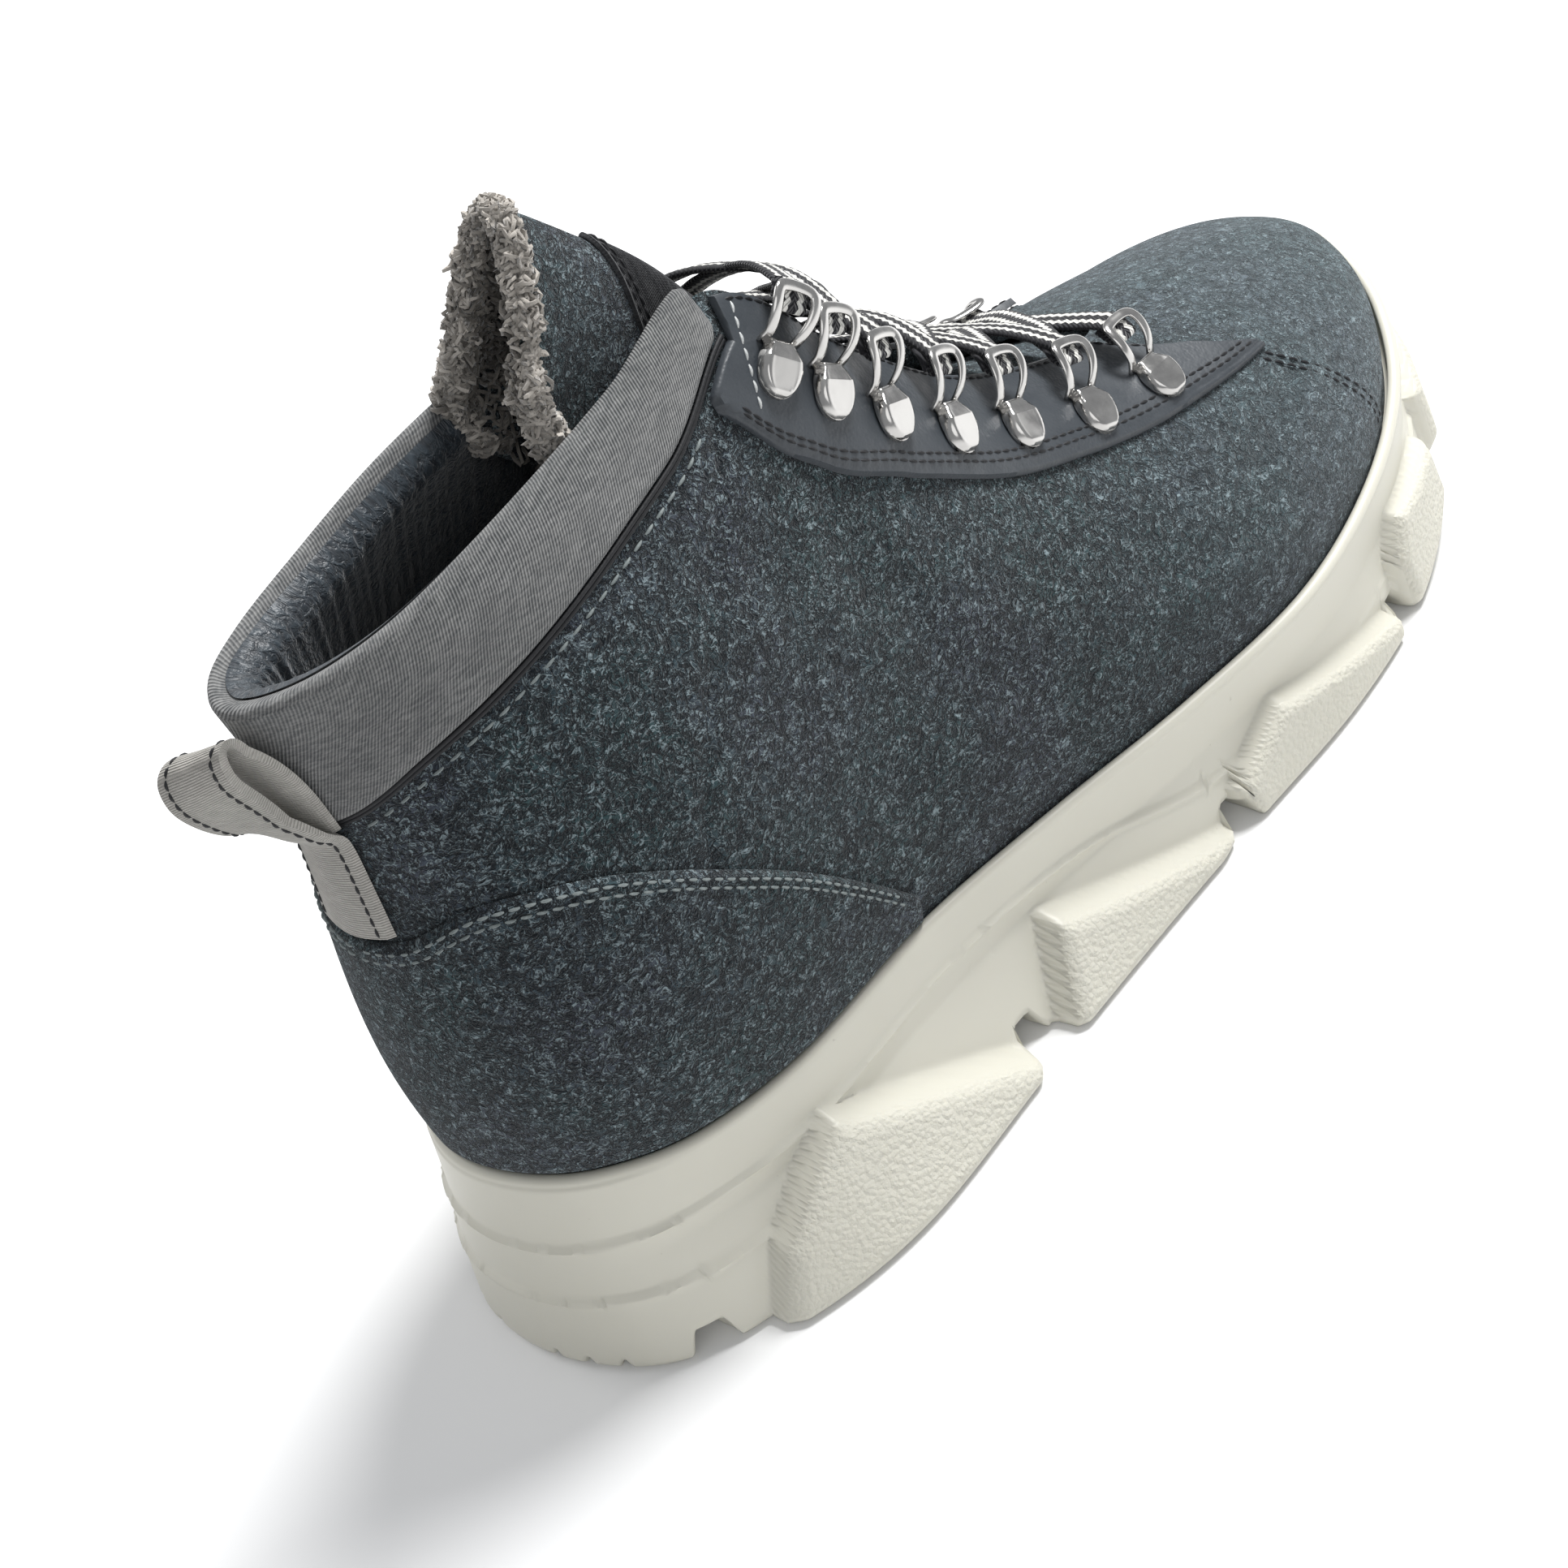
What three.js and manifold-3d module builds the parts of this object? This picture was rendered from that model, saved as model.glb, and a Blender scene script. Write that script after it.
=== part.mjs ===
// Wool sneaker, the right shoe, empty and standing: a felt upper on a thick moulded sole.
// Millimetres. +X to the toe, +Y to the inner side, +Z up. Origin: middle of the heel's rest, on the floor.
import * as THREE from "three";
import { mergeVertices } from "three/addons/utils/BufferGeometryUtils.js";
import Module from "manifold-3d";

const wasm = await Module();
wasm.setup();

// Driving sizes of the whole shoe
const LENGTH = 261; // the sole's rim, heel to toe
const BALL_WIDTH = 97; // the sole's rim across the ball
const HEEL_HEIGHT = 43; // the rim above the floor, at the heel
const COLLAR_RISE = 103; // the collar's front corners above that height
const VAMP_RISE = 30; // the throat's front end above that height

// Sole
const TOE_SPRING = 12;
const SPRING_START = 0.76; // share of the length where the bottom starts to rise
const SOLE_FLARE = 15; // how far the bottom stands out past the rim, at most
const POD_DEPTH = 6; // how far the side pods stand out of the wall
const POD_BEVEL = 1.8;
const POD_TAPER = 9; // added to a pod's half length, so that short pods narrow less
const WALL_STEP = 1.2; // height and depth of the two steps round the side
const LIP = 1.7; // width of the raised lip round the upper
const LIP_ROUND = 0.8;
const SEAT_DEPTH = 3.3; // the footbed below the lip
const EDGE_HEIGHT = 2.2; // rounded lower edge
const EDGE_ROUND = 1.8;
const HEEL_REST = 45; // middle of the heel's rest, from the rim's back
const GROOVE_WIDTH = 8;
const GROOVE_DEPTH = 5;
const CUT_WIDTH = 4.5; // slanting cuts in the tread
const CUT_DEPTH = 2.6;

// Upper and what lies on it
const WALL = 2.4;
const GAP = 0.3; // clearance between touching pieces
const CURVED_GAP = 0.45; // the same between curved sheets, whose flat faces come closer than this
const VAMP_STEP = 0.6; // the toe piece lies this much lower than the quarter
const COUNTER_THICK = 1.3;
const EYESTAY_THICK = 1.4;
const BAND_THICK = 2;
const BAND_TOP = 3.6; // the band's padded top above the wall's edge
const LINING_THICK = 3.2;
const INSOLE_THICK = 4;
const TONGUE_THICK = 5;
const STRIP_THICK = 1.1;
const STRIP_GAP = 0.7; // the tongue turns too sharply under the strip for CURVED_GAP
const STRAP_THICK = 1.5;
const STRAP_REACH = 14; // how far the pull loop stands off the heel
const LACE_WIDTH = 5.6;
const LACE_THICK = 1.1;
const RING_WIRE = 0.8; // radius of the ring's wire
const RING_WIDTH = 8.6; // across the ring, between wire centres
const RING_LENGTH = 8.4; // from the plate's fold to the bar that holds the lace
const PLATE_WIDTH = 8.4;
const PLATE_LENGTH = 10.5;
const PLATE_THICK = 1.1;
const RING_TILT = 0.8; // lean of a ring out of its plate, in radians
const LACE_ARCH = 4.5; // rise of the lace over the tongue, between its rings

// Rows of the sole from the heel's back to the toe's tip.
// x of LENGTH; outer and inner half widths of BALL_WIDTH; rim height of HEEL_HEIGHT;
// flare outside and inside of SOLE_FLARE; pods of POD_DEPTH; heights of the two steps as shares of the side;
// how much of WALL_STEP each step has.
const SOLE_ROWS = [
  [0.0, 0.0, 0.0, 1.0, 0.37, 0.37, 0.0, 0.65, 0.36, 1, 1],
  [0.011, 0.128, 0.118, 0.99, 0.42, 0.38, 0.0, 0.65, 0.36, 1, 1],
  [0.04, 0.236, 0.216, 0.965, 0.6, 0.42, 0.3, 0.66, 0.37, 1, 1],
  [0.095, 0.315, 0.295, 0.9, 0.8, 0.46, 0.9, 0.66, 0.35, 1, 1],
  [0.182, 0.354, 0.335, 0.835, 0.96, 0.48, 1.0, 0.69, 0.35, 1, 0.3],
  [0.309, 0.364, 0.345, 0.815, 0.9, 0.48, 1.0, 0.72, 0.36, 1, 0],
  [0.436, 0.403, 0.374, 0.745, 0.68, 0.4, 0.9, 0.66, 0.32, 1, 0],
  [0.564, 0.462, 0.425, 0.69, 0.38, 0.3, 0.6, 0.36, 0.17, 0.8, 0],
  [0.691, 0.502, 0.475, 0.675, 0.22, 0.22, 0.5, 0.28, 0.13, 0.2, 0],
  [0.8, 0.472, 0.46, 0.73, 0.2, 0.2, 0.5, 0.32, 0.16, 0.3, 0],
  [0.89, 0.384, 0.392, 0.8, 0.2, 0.2, 0.5, 0.36, 0.18, 0.6, 0],
  [0.953, 0.256, 0.285, 0.9, 0.22, 0.22, 0.45, 0.4, 0.2, 0.8, 0],
  [0.989, 0.118, 0.15, 0.97, 0.24, 0.24, 0.4, 0.42, 0.2, 1, 0],
  [1.0, 0.0, 0.0, 1.0, 0.25, 0.25, 0.4, 0.42, 0.2, 1, 0],
];
const SOLE_LAST = SOLE_ROWS.length - 1;

// Strips of the upper, from the rim to the top edge, heel to toe.
// row of the sole; top x of LENGTH; outer and inner top y of BALL_WIDTH; top height of COLLAR_RISE
// and VAMP_RISE over HEEL_HEIGHT; lean at the foot of BALL_WIDTH; rise at the foot of the strip's height;
// reach at the top of BALL_WIDTH; drop at the top of the strip's height.
const STRIP_ROWS = [
  [0.0, 0.025, 0.02, 0.02, 0.952, 0, 0.041, 0.38, -0.062, 0.38],
  [1.0, 0.039, -0.046, 0.09, 0.953, 0, 0.051, 0.38, -0.041, 0.36],
  [2.0, 0.073, -0.102, 0.13, 0.956, 0, 0.062, 0.36, 0.02, 0.33],
  [3.0, 0.126, -0.133, 0.16, 0.96, 0, 0.072, 0.34, 0.09, 0.28],
  [4.0, 0.211, -0.147, 0.18, 0.975, 0, 0.072, 0.33, 0.155, 0.24],
  [4.7, 0.307, -0.136, 0.165, 0.988, 0, 0.072, 0.32, 0.17, 0.215],
  [5.3, 0.406, -0.1, 0.134, 1.0, 0, 0.072, 0.29, 0.165, 0.19],
  [5.85, 0.475, -0.11, 0.145, 0.757, 0.03, 0.062, 0.33, 0.206, 0.15],
  [6.4, 0.544, -0.115, 0.138, 0.545, 0.06, 0.051, 0.38, 0.227, 0.14],
  [7.0, 0.613, -0.104, 0.122, 0.37, 0.22, 0.041, 0.41, 0.247, 0.135],
  [7.7, 0.67, -0.09, 0.102, 0.19, 0.56, 0.041, 0.42, 0.255, 0.12],
  [8.6, 0.709, -0.072, 0.086, 0.07, 0.83, 0.041, 0.4, 0.255, 0.09],
  [9.6, 0.726, -0.051, 0.062, 0.02, 0.95, 0.041, 0.4, 0.265, 0.1],
  [10.6, 0.734, -0.031, 0.036, 0, 1.0, 0.041, 0.38, 0.278, 0.16],
  [11.7, 0.737, -0.015, 0.018, 0, 1.0, 0.038, 0.4, 0.28, 0.22],
  [13.0, 0.7375, 0.0, 0.0, 0, 1.0, 0.031, 0.4, 0.288, 0.23],
];
const STRIP_LAST = STRIP_ROWS.length - 1;
// On the inner side in front of the throat the upper is flatter, by these shares at most.
const INNER_REACH = 0.8;
const INNER_LEAN = 0.4;
const INNER_DROP = 0.06;

// Edges on the upper: the strip, and the height up it.
const BAND_EDGE = [[0, 0.77], [1.3, 0.785], [2.3, 0.815], [3.5, 0.835], [4.5, 0.86], [5.4, 0.885],
  [5.9, 0.92]];
const BAND_END = 5.85;
const COUNTER_EDGE = [[0, 0.53], [1, 0.53], [2.2, 0.565], [3.2, 0.51], [4.1, 0.365], [4.9, 0.2],
  [5.5, 0.06]];
const COUNTER_END = 5.5;
const EYESTAY_LOW = [[5.5, 0.845], [5.8, 0.73], [6.1, 0.68], [6.9, 0.685], [7.9, 0.7], [9.1, 0.7],
  [10.4, 0.67], [11.2, 0.63], [12, 0.575]];
const EYESTAY_HIGH = [[5.5, 0.87], [5.88, 0.905], [5.95, 0.985], [10.5, 0.985], [11.2, 0.84],
  [11.6, 0.77], [12, 0.61]];
const EYESTAY_ENDS = [5.5, 12];
const VAMP_SEAM = 12;
const LINING_LOW = 0.6;
const LINING_END = 5.1;
const RING_STRIPS = [6.05, 6.5, 7.18, 7.88, 8.72, 9.6, 10.6];
const RING_HEIGHT = 0.81;

// Side pods and toe bumper: corners as a share of LENGTH and of the side's height.
const PODS = [
  [[0.065, 0], [0.1, 0.33], [0.134, 0.53], [0.169, 0.7], [0.318, 0.1], [0.31, 0]],
  [[0.341, 0], [0.387, 0.55], [0.552, 0.08], [0.547, 0]],
  [[0.575, 0], [0.566, 0.27], [0.628, 0.55], [0.772, 0.17], [0.77, 0]],
  [[0.792, 0], [0.79, 0.4], [0.808, 0.66], [0.898, 0.45], [0.903, 0]],
  [[0.928, 0], [0.926, 0.5], [0.962, 0.56], [0.995, 0.5], [0.995, 0]],
];

// Grooves across the whole tread, as shares of LENGTH, and the slanting cuts between them:
// both ends as shares of LENGTH and BALL_WIDTH.
const GROOVES = [0.034, 0.33, 0.56, 0.78, 0.915];
const CUTS = [
  [0.3, 0, 0.215, 0.19],
  [0.535, 0, 0.355, 0.17],
  [0.535, 0.27, 0.355, 0.17],
  [0.585, 0, 0.755, 0.19],
  [0.585, 0.28, 0.755, 0.19],
  [0.8, 0.19, 0.895, 0],
];

// Tongue sections from under the vamp to the top: x of LENGTH, height of COLLAR_RISE over HEEL_HEIGHT,
// outer and inner edge y of BALL_WIDTH, how far the edges lie back of LENGTH and down of COLLAR_RISE.
const TONGUE_ROWS = [
  [0.766, 0.2265, -0.1, 0.1, 0, 0.02],
  [0.713, 0.2725, -0.14, 0.15, 0, 0.05],
  [0.659, 0.3445, -0.16, 0.17, 0.002, 0.07],
  [0.598, 0.42, -0.165, 0.18, 0.006, 0.1],
  [0.536, 0.54, -0.16, 0.175, 0.018, 0.14],
  [0.474, 0.72, -0.13, 0.155, 0.05, 0.17],
  [0.433, 0.885, -0.09, 0.12, 0.09, 0.17],
  [0.402, 1.03, -0.072, 0.104, 0.124, 0.15],
  [0.371, 1.14, -0.07, 0.102, 0.105, 0.16],
  [0.341, 1.235, -0.07, 0.102, 0.075, 0.19],
  [0.318, 1.3, -0.07, 0.102, 0.046, 0.215],
];
const TONGUE_LAST = TONGUE_ROWS.length - 1;
const STRIP_SPAN = [5, 8.125]; // the ribbed strip's ends, in tongue sections
const STRIP_HALF = 0.75; // its half width, as a share of the tongue's

// Pull loop: height up the heel's strip and how far it stands off the wall, as a share of STRAP_REACH
const STRAP_PATH = [[0.545, 0.0214], [0.64, 0.0214], [0.73, 0.0286], [0.765, 0.1286], [0.79, 0.3714],
  [0.83, 0.6714], [0.88, 0.8857], [0.935, 1], [0.98, 0.9429], [0.985, 0.7714],
  [0.95, 0.5857], [0.9, 0.4286], [0.85, 0.3286], [0.815, 0.3]];
const STRAP_HALF = 0.95; // half width, in strips round the heel
const STRAP_FLAT = [0.14, 0.64]; // between these shares of its reach the strap turns from curved to flat

// Rows of numbers on a Catmull-Rom curve
function blend(p0, p1, p2, p3, f) {
  return p1.map((b, i) => {
    const cubic = 3 * (b - p2[i]) + p3[i] - p0[i];
    const square = 2 * p0[i] - 5 * b + 4 * p2[i] - p3[i];
    return b + 0.5 * f * (p2[i] - p0[i] + f * (square + f * cubic));
  });
}

// A closed loop round the shoe: -last is the toe, 0 the heel and last the toe again, by the inner side.
function aroundLoop(rowAt, last, lap) {
  const period = 2 * last;
  const row = (k) => {
    const laps = Math.floor((k + last) / period);
    const values = rowAt(k - laps * period);
    values[0] += laps * lap;
    return values;
  };
  return (s) => {
    const k = Math.floor(s);
    return blend(row(k - 1), row(k), row(k + 1), row(k + 2), s - k);
  };
}

// Between the rows of an open table
function alongRows(rows, t) {
  const last = rows.length - 1;
  const k = Math.min(Math.max(Math.floor(t), 0), last - 1);
  const before = k > 0 ? rows[k - 1] : rows[0].map((v, i) => 2 * v - rows[1][i]);
  const after = k < last - 1 ? rows[k + 2] : rows[last].map((v, i) => 2 * v - rows[last - 1][i]);
  return blend(before, rows[k], rows[k + 1], after, t - k);
}

// Straight between the points of a short table of pairs
function edgeAt(pairs, t) {
  for (let i = 1; i < pairs.length; i++) {
    const [t0, v0] = pairs[i - 1];
    const [t1, v1] = pairs[i];
    if (t <= t1) return v0 + ((v1 - v0) * Math.max(t - t0, 0)) / (t1 - t0);
  }
  return pairs[pairs.length - 1][1];
}

const soleLoop = aroundLoop(
  (k) => {
    const [x, outer, inner, height, flareOut, flareIn, ...rest] = SOLE_ROWS[Math.abs(k)];
    return [0, x, k < 0 ? -outer : inner, height, k < 0 ? flareOut : flareIn, ...rest];
  },
  SOLE_LAST,
  0,
);

// The sole's side at a place round it: the rim, the way out, and the side's steps and flare
function soleSide(s) {
  const [, x, y, height, flare, pod, upperStep, lowerStep, upperAmount, lowerAmount] = soleLoop(s);
  const before = soleLoop(s - 0.05);
  const after = soleLoop(s + 0.05);
  const aheadX = (after[1] - before[1]) * LENGTH;
  const along = new THREE.Vector2(aheadX, (after[2] - before[2]) * BALL_WIDTH).normalize();
  return {
    rim: new THREE.Vector3(x * LENGTH, y * BALL_WIDTH, height * HEEL_HEIGHT),
    out: new THREE.Vector3(-along.y, along.x, 0),
    flare: flare * SOLE_FLARE,
    pod: pod * POD_DEPTH,
    upperStep,
    lowerStep,
    upperAmount: upperAmount * WALL_STEP,
    lowerAmount: lowerAmount * WALL_STEP,
  };
}

function bottomHeight(x) {
  const t = Math.max(x / LENGTH - SPRING_START, 0) / (1 - SPRING_START);
  return TOE_SPRING * t ** 1.8;
}

function offRim(side, out, z) {
  return new THREE.Vector3(side.rim.x + side.out.x * out, side.rim.y + side.out.y * out, z);
}

// The plain side wall under the pods, and the surface that the pods' faces lie on
function wallOut(side, share) {
  return LIP_ROUND + side.flare * (1 - share) - side.pod * Math.min(1, 2.2 * (1 - share));
}
function podOut(side, share) {
  return LIP_ROUND + WALL_STEP + side.flare * (1 - share);
}

// Triangle meshes as solids, and back
function solid(points, triangles) {
  const geometry = new THREE.BufferGeometry();
  const numbers = points.flatMap((p) => [p.x, p.y, p.z]);
  geometry.setAttribute("position", new THREE.Float32BufferAttribute(numbers, 3));
  geometry.setIndex(triangles);
  const merged = mergeVertices(geometry, 1e-4);
  const made = new wasm.Manifold(
    new wasm.Mesh({
      numProp: 3,
      vertProperties: new Float32Array(merged.attributes.position.array),
      triVerts: new Uint32Array(merged.index.array),
    }),
  );
  if (made.volume() >= 0) return made;
  const turned = [];
  for (let i = 0; i < triangles.length; i += 3) turned.push(triangles[i], triangles[i + 2], triangles[i + 1]);
  return solid(points, turned);
}

function geometryOf(made) {
  const mesh = made.getMesh();
  const geometry = new THREE.BufferGeometry();
  geometry.setAttribute("position", new THREE.BufferAttribute(new Float32Array(mesh.vertProperties), 3));
  geometry.setIndex(new THREE.BufferAttribute(new Uint32Array(mesh.triVerts), 1));
  geometry.computeVertexNormals();
  return geometry;
}

// Sections of equally many points, skinned; closed into a ring, or capped with the given triangles
function skin(sections, ring, cap) {
  const count = sections[0].length;
  const points = sections.flat();
  const triangles = [];
  const gaps = ring ? sections.length : sections.length - 1;
  for (let i = 0; i < gaps; i++) {
    const a = i * count;
    const b = ((i + 1) % sections.length) * count;
    for (let j = 0; j < count; j++) {
      const n = (j + 1) % count;
      triangles.push(a + j, b + j, b + n, a + j, b + n, a + n);
    }
  }
  if (!ring) {
    const far = (sections.length - 1) * count;
    for (const [p, q, r] of cap) triangles.push(p, q, r, far + p, far + r, far + q);
  }
  return solid(points, triangles);
}

// Cap of a section made of a row of points and the same row back again
function ladderCap(count) {
  const cap = [];
  for (let j = 0; j < count / 2 - 1; j++) {
    const k = count - 1 - j;
    cap.push([j, j + 1, k], [j + 1, k - 1, k]);
  }
  return cap;
}

// Cap of any outline, given as points in a plane
function outlineCap(flat) {
  const points = flat.map(([a, b]) => new THREE.Vector2(a, b));
  return THREE.ShapeUtils.triangulateShape(points, []).map((corners) => [...corners].sort((a, b) => a - b));
}

// Cap of a loop round the shoe, joined across from side to side
function acrossCap(count) {
  const cap = [[0, 1, count - 1]];
  for (let j = 1; j < count / 2 - 1; j++) {
    const k = count - j;
    cap.push([j, j + 1, k], [j + 1, k - 1, k]);
  }
  cap.push([count / 2 - 1, count / 2, count / 2 + 1]);
  return cap;
}

function steps(from, to, count) {
  return Array.from({ length: count + 1 }, (_, i) => from + ((to - from) * i) / count);
}

// A stretch of a larger piece's stations, so that what lies on it has the same facets
function within(stations, from, to, extra = []) {
  const least = 0.12 * (stations[1] - stations[0]);
  const kept = [...stations, ...extra].filter((t) => t > from + least && t < to - least);
  return [from, ...kept.sort((a, b) => a - b), to];
}

// Sole
const SIDE_STEPS = 32;
const soleStations = steps(-SOLE_LAST, SOLE_LAST, 2 * SIDE_STEPS).slice(0, -1);

function soleLevels(s) {
  const side = soleSide(s);
  const floor = bottomHeight(side.rim.x);
  const edge = floor + EDGE_HEIGHT;
  const heightAt = (share) => edge + share * (side.rim.z - edge);
  const rim = side.rim.z;
  const high = wallOut(side, side.upperStep);
  const low = wallOut(side, side.lowerStep) + side.upperAmount;
  return [
    offRim(side, -LIP, rim - SEAT_DEPTH),
    offRim(side, -LIP, rim),
    offRim(side, 0, rim),
    offRim(side, LIP_ROUND, rim - 2 * LIP_ROUND),
    offRim(side, high, heightAt(side.upperStep)),
    offRim(side, high + side.upperAmount, heightAt(side.upperStep) - WALL_STEP),
    offRim(side, low, heightAt(side.lowerStep)),
    offRim(side, low + side.lowerAmount, heightAt(side.lowerStep) - WALL_STEP),
    offRim(side, wallOut(side, 0) + side.upperAmount + side.lowerAmount, edge),
    offRim(side, wallOut(side, 0) + side.upperAmount + side.lowerAmount - EDGE_ROUND, floor),
  ];
}

function soleBody() {
  const levels = soleStations.map(soleLevels);
  const rings = levels[0].map((_, i) => levels.map((column) => column[i]));
  return skin(rings, false, acrossCap(soleStations.length));
}

// The place round the sole, on one side, where the rim has the given x
function stationOfX(x, sign) {
  let low = 0;
  let high = SOLE_LAST;
  for (let i = 0; i < 40; i++) {
    const middle = (low + high) / 2;
    if (soleLoop(sign * middle)[1] < x) low = middle;
    else high = middle;
  }
  return (sign * (low + high)) / 2;
}

// A pod: an outline on the side, from inside the wall to a bevelled face
function pod(corners, sign) {
  const outline = [];
  corners.forEach(([x, height], i) => {
    const [nextX, nextHeight] = corners[(i + 1) % corners.length];
    const parts = Math.max(1, Math.round((Math.abs(nextX - x) * LENGTH) / 14));
    for (const share of steps(0, 1, parts).slice(0, -1))
      outline.push([x + (nextX - x) * share, height + (nextHeight - height) * share]);
  });
  const middleX = outline.reduce((sum, p) => sum + p[0], 0) / outline.length;
  const place = (x, height, outOf) => {
    const side = soleSide(stationOfX(x, sign));
    const floor = bottomHeight(side.rim.x);
    return offRim(side, outOf(side, height), floor + height * (side.rim.z - floor));
  };
  const halfLength = 0.5 * LENGTH * Math.abs(corners[0][0] - middleX) + POD_TAPER;
  const inward = (x) => middleX + (x - middleX) * (1 - POD_BEVEL / halfLength);
  const bevelled = (height) => Math.max(0, height - (height > 0.05 ? POD_BEVEL / (0.6 * HEEL_HEIGHT) : 0));
  const loops = [
    outline.map(([x, h]) => place(x, h, (side, share) => wallOut(side, share) - POD_DEPTH / 2)),
    outline.map(([x, h]) => place(x, h, (side, share) => podOut(side, share) - POD_BEVEL)),
    outline.map(([x, h]) => place(inward(x), bevelled(h), podOut)),
  ];
  return skin(loops, false, outlineCap(outline.map(([x, h]) => [x * LENGTH, h * HEEL_HEIGHT])));
}

// A groove with sloping sides, cut upwards from under the tread
function groove(from, to, width, depth) {
  const along = new THREE.Vector3().subVectors(to, from).normalize();
  const across = new THREE.Vector3(-along.y, along.x, 0);
  const section = (p) => {
    const top = bottomHeight(p.x) + depth;
    const corner = (offset, z) => new THREE.Vector3(p.x + across.x * offset, p.y + across.y * offset, z);
    const spread = width / 2 + (width / 4 / depth) * (1 + bottomHeight(p.x));
    return [corner(-spread, -1), corner(-width / 4, top), corner(width / 4, top), corner(spread, -1)];
  };
  return skin([section(from), section(to)], false, ladderCap(4));
}

function sole() {
  let made = soleBody();
  for (const corners of PODS) for (const sign of [-1, 1]) made = made.add(pod(corners, sign));
  for (const x of GROOVES) {
    const reach = BALL_WIDTH;
    const start = new THREE.Vector3(x * LENGTH, -reach, 0);
    made = made.subtract(groove(start, start.clone().setY(reach), GROOVE_WIDTH, GROOVE_DEPTH));
  }
  for (const [x0, y0, x1, y1] of CUTS)
    for (const sign of [-1, 1]) {
      const start = new THREE.Vector3(x0 * LENGTH, sign * y0 * BALL_WIDTH, 0);
      const end = new THREE.Vector3(x1 * LENGTH, sign * y1 * BALL_WIDTH, 0);
      made = made.subtract(groove(start, end, CUT_WIDTH, CUT_DEPTH));
    }
  return made;
}

// Upper's surface
const stripLoop = aroundLoop(
  (k) => {
    const [row, x, outer, inner, ...rest] = STRIP_ROWS[Math.abs(k)];
    return [k < 0 ? -row : row, x, k < 0 ? outer : inner, ...rest];
  },
  STRIP_LAST,
  2 * SOLE_LAST,
);

// A point on the upper: s goes round it as on the sole but in strips, v goes up a strip from 0 to 1.
function upperPoint(s, v) {
  const [row, x, y, collar, vamp, lean, rise, reach, drop] = stripLoop(s);
  const side = soleSide(row);
  const foot = offRim(side, -LIP - GAP, side.rim.z);
  const topHeight = HEEL_HEIGHT + collar * COLLAR_RISE + vamp * VAMP_RISE;
  const top = new THREE.Vector3(x * LENGTH, y * BALL_WIDTH, topHeight);
  const height = top.z - foot.z;
  const ahead = s > 0 ? Math.min(1, Math.max(0, (s - 6) / 2)) * Math.min(1, (STRIP_LAST - s) / 2) : 0;
  const leanOut = lean * BALL_WIDTH * (1 - (1 - INNER_LEAN) * ahead);
  const reachOut = reach * BALL_WIDTH * (1 - (1 - INNER_REACH) * ahead);
  const low = foot.clone().addScaledVector(side.out, leanOut);
  low.z += rise * height;
  const high = top.clone().addScaledVector(side.out, reachOut);
  high.z -= (drop + INNER_DROP * ahead) * height;
  const u = 1 - v;
  return new THREE.Vector3()
    .addScaledVector(foot, u * u * u)
    .addScaledVector(low, 3 * u * u * v)
    .addScaledVector(high, 3 * u * v * v)
    .addScaledVector(top, v * v * v);
}

// The upper's point, its outward normal, the way up the strip and the way round
function upperFrame(s, v) {
  const step = 0.004;
  const below = Math.max(0, v - step);
  const above = Math.min(1, v + step);
  const up = upperPoint(s, above).sub(upperPoint(s, below)).normalize();
  const round = upperPoint(s + 0.05, v).sub(upperPoint(s - 0.05, v)).normalize();
  const out = new THREE.Vector3().crossVectors(up, round).normalize();
  return { at: upperPoint(s, v), out, up, round };
}

function offUpper(s, v, out, up = 0) {
  const frame = upperFrame(s, Math.min(v, 1));
  const past = Math.max(0, v - 1) * COLLAR_RISE;
  return frame.at.addScaledVector(frame.out, out).addScaledVector(frame.up, up + past);
}

// The upper: one wall round the shoe, open at the collar, the throat and underneath
const upperStations = steps(-STRIP_LAST, STRIP_LAST, 4 * STRIP_LAST);

function upper() {
  const heights = [0, 0.08, 0.18, 0.32, 0.48, 0.64, 0.8, 0.92, 1];
  const seam = [VAMP_SEAM - 0.06, VAMP_SEAM + 0.06];
  const stations = upperStations
    .slice(0, -1)
    .flatMap((s) => (Math.abs(s) === VAMP_SEAM ? seam.map((t) => Math.sign(s) * t) : [s]))
    .sort((a, b) => a - b);
  const sections = stations.map((s) => {
    const lower = Math.abs(s) > VAMP_SEAM ? VAMP_STEP : 0;
    const outer = heights.map((v) => offUpper(s, v, -lower));
    const inner = heights.map((v) => offUpper(s, v, -WALL - lower)).reverse();
    const seat = (p) => new THREE.Vector3(p.x, p.y, upperPoint(s, 0).z - SEAT_DEPTH + GAP);
    return [seat(outer[0]), ...outer, ...inner, seat(inner[inner.length - 1])];
  });
  return skin(sections, true);
}

// A sheet over or under the upper's surface
function overlay(from, to, low, high, heights, near, far, extra = []) {
  const sections = within(upperStations, from, to, extra).map((s) => {
    const t = Math.abs(s);
    const rows = steps(0, 1, heights).map((share) => low(t) + (high(t) - low(t)) * share);
    return [...rows.map((v) => offUpper(s, v, far)), ...rows.map((v) => offUpper(s, v, near)).reverse()];
  });
  return skin(sections, false, ladderCap(2 * (heights + 1)));
}

function heelCounter() {
  const foot = 0.006;
  const edge = (t) => edgeAt(COUNTER_EDGE, t);
  return overlay(-COUNTER_END, COUNTER_END, () => foot, edge, 5, CURVED_GAP, CURVED_GAP + COUNTER_THICK);
}

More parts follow.
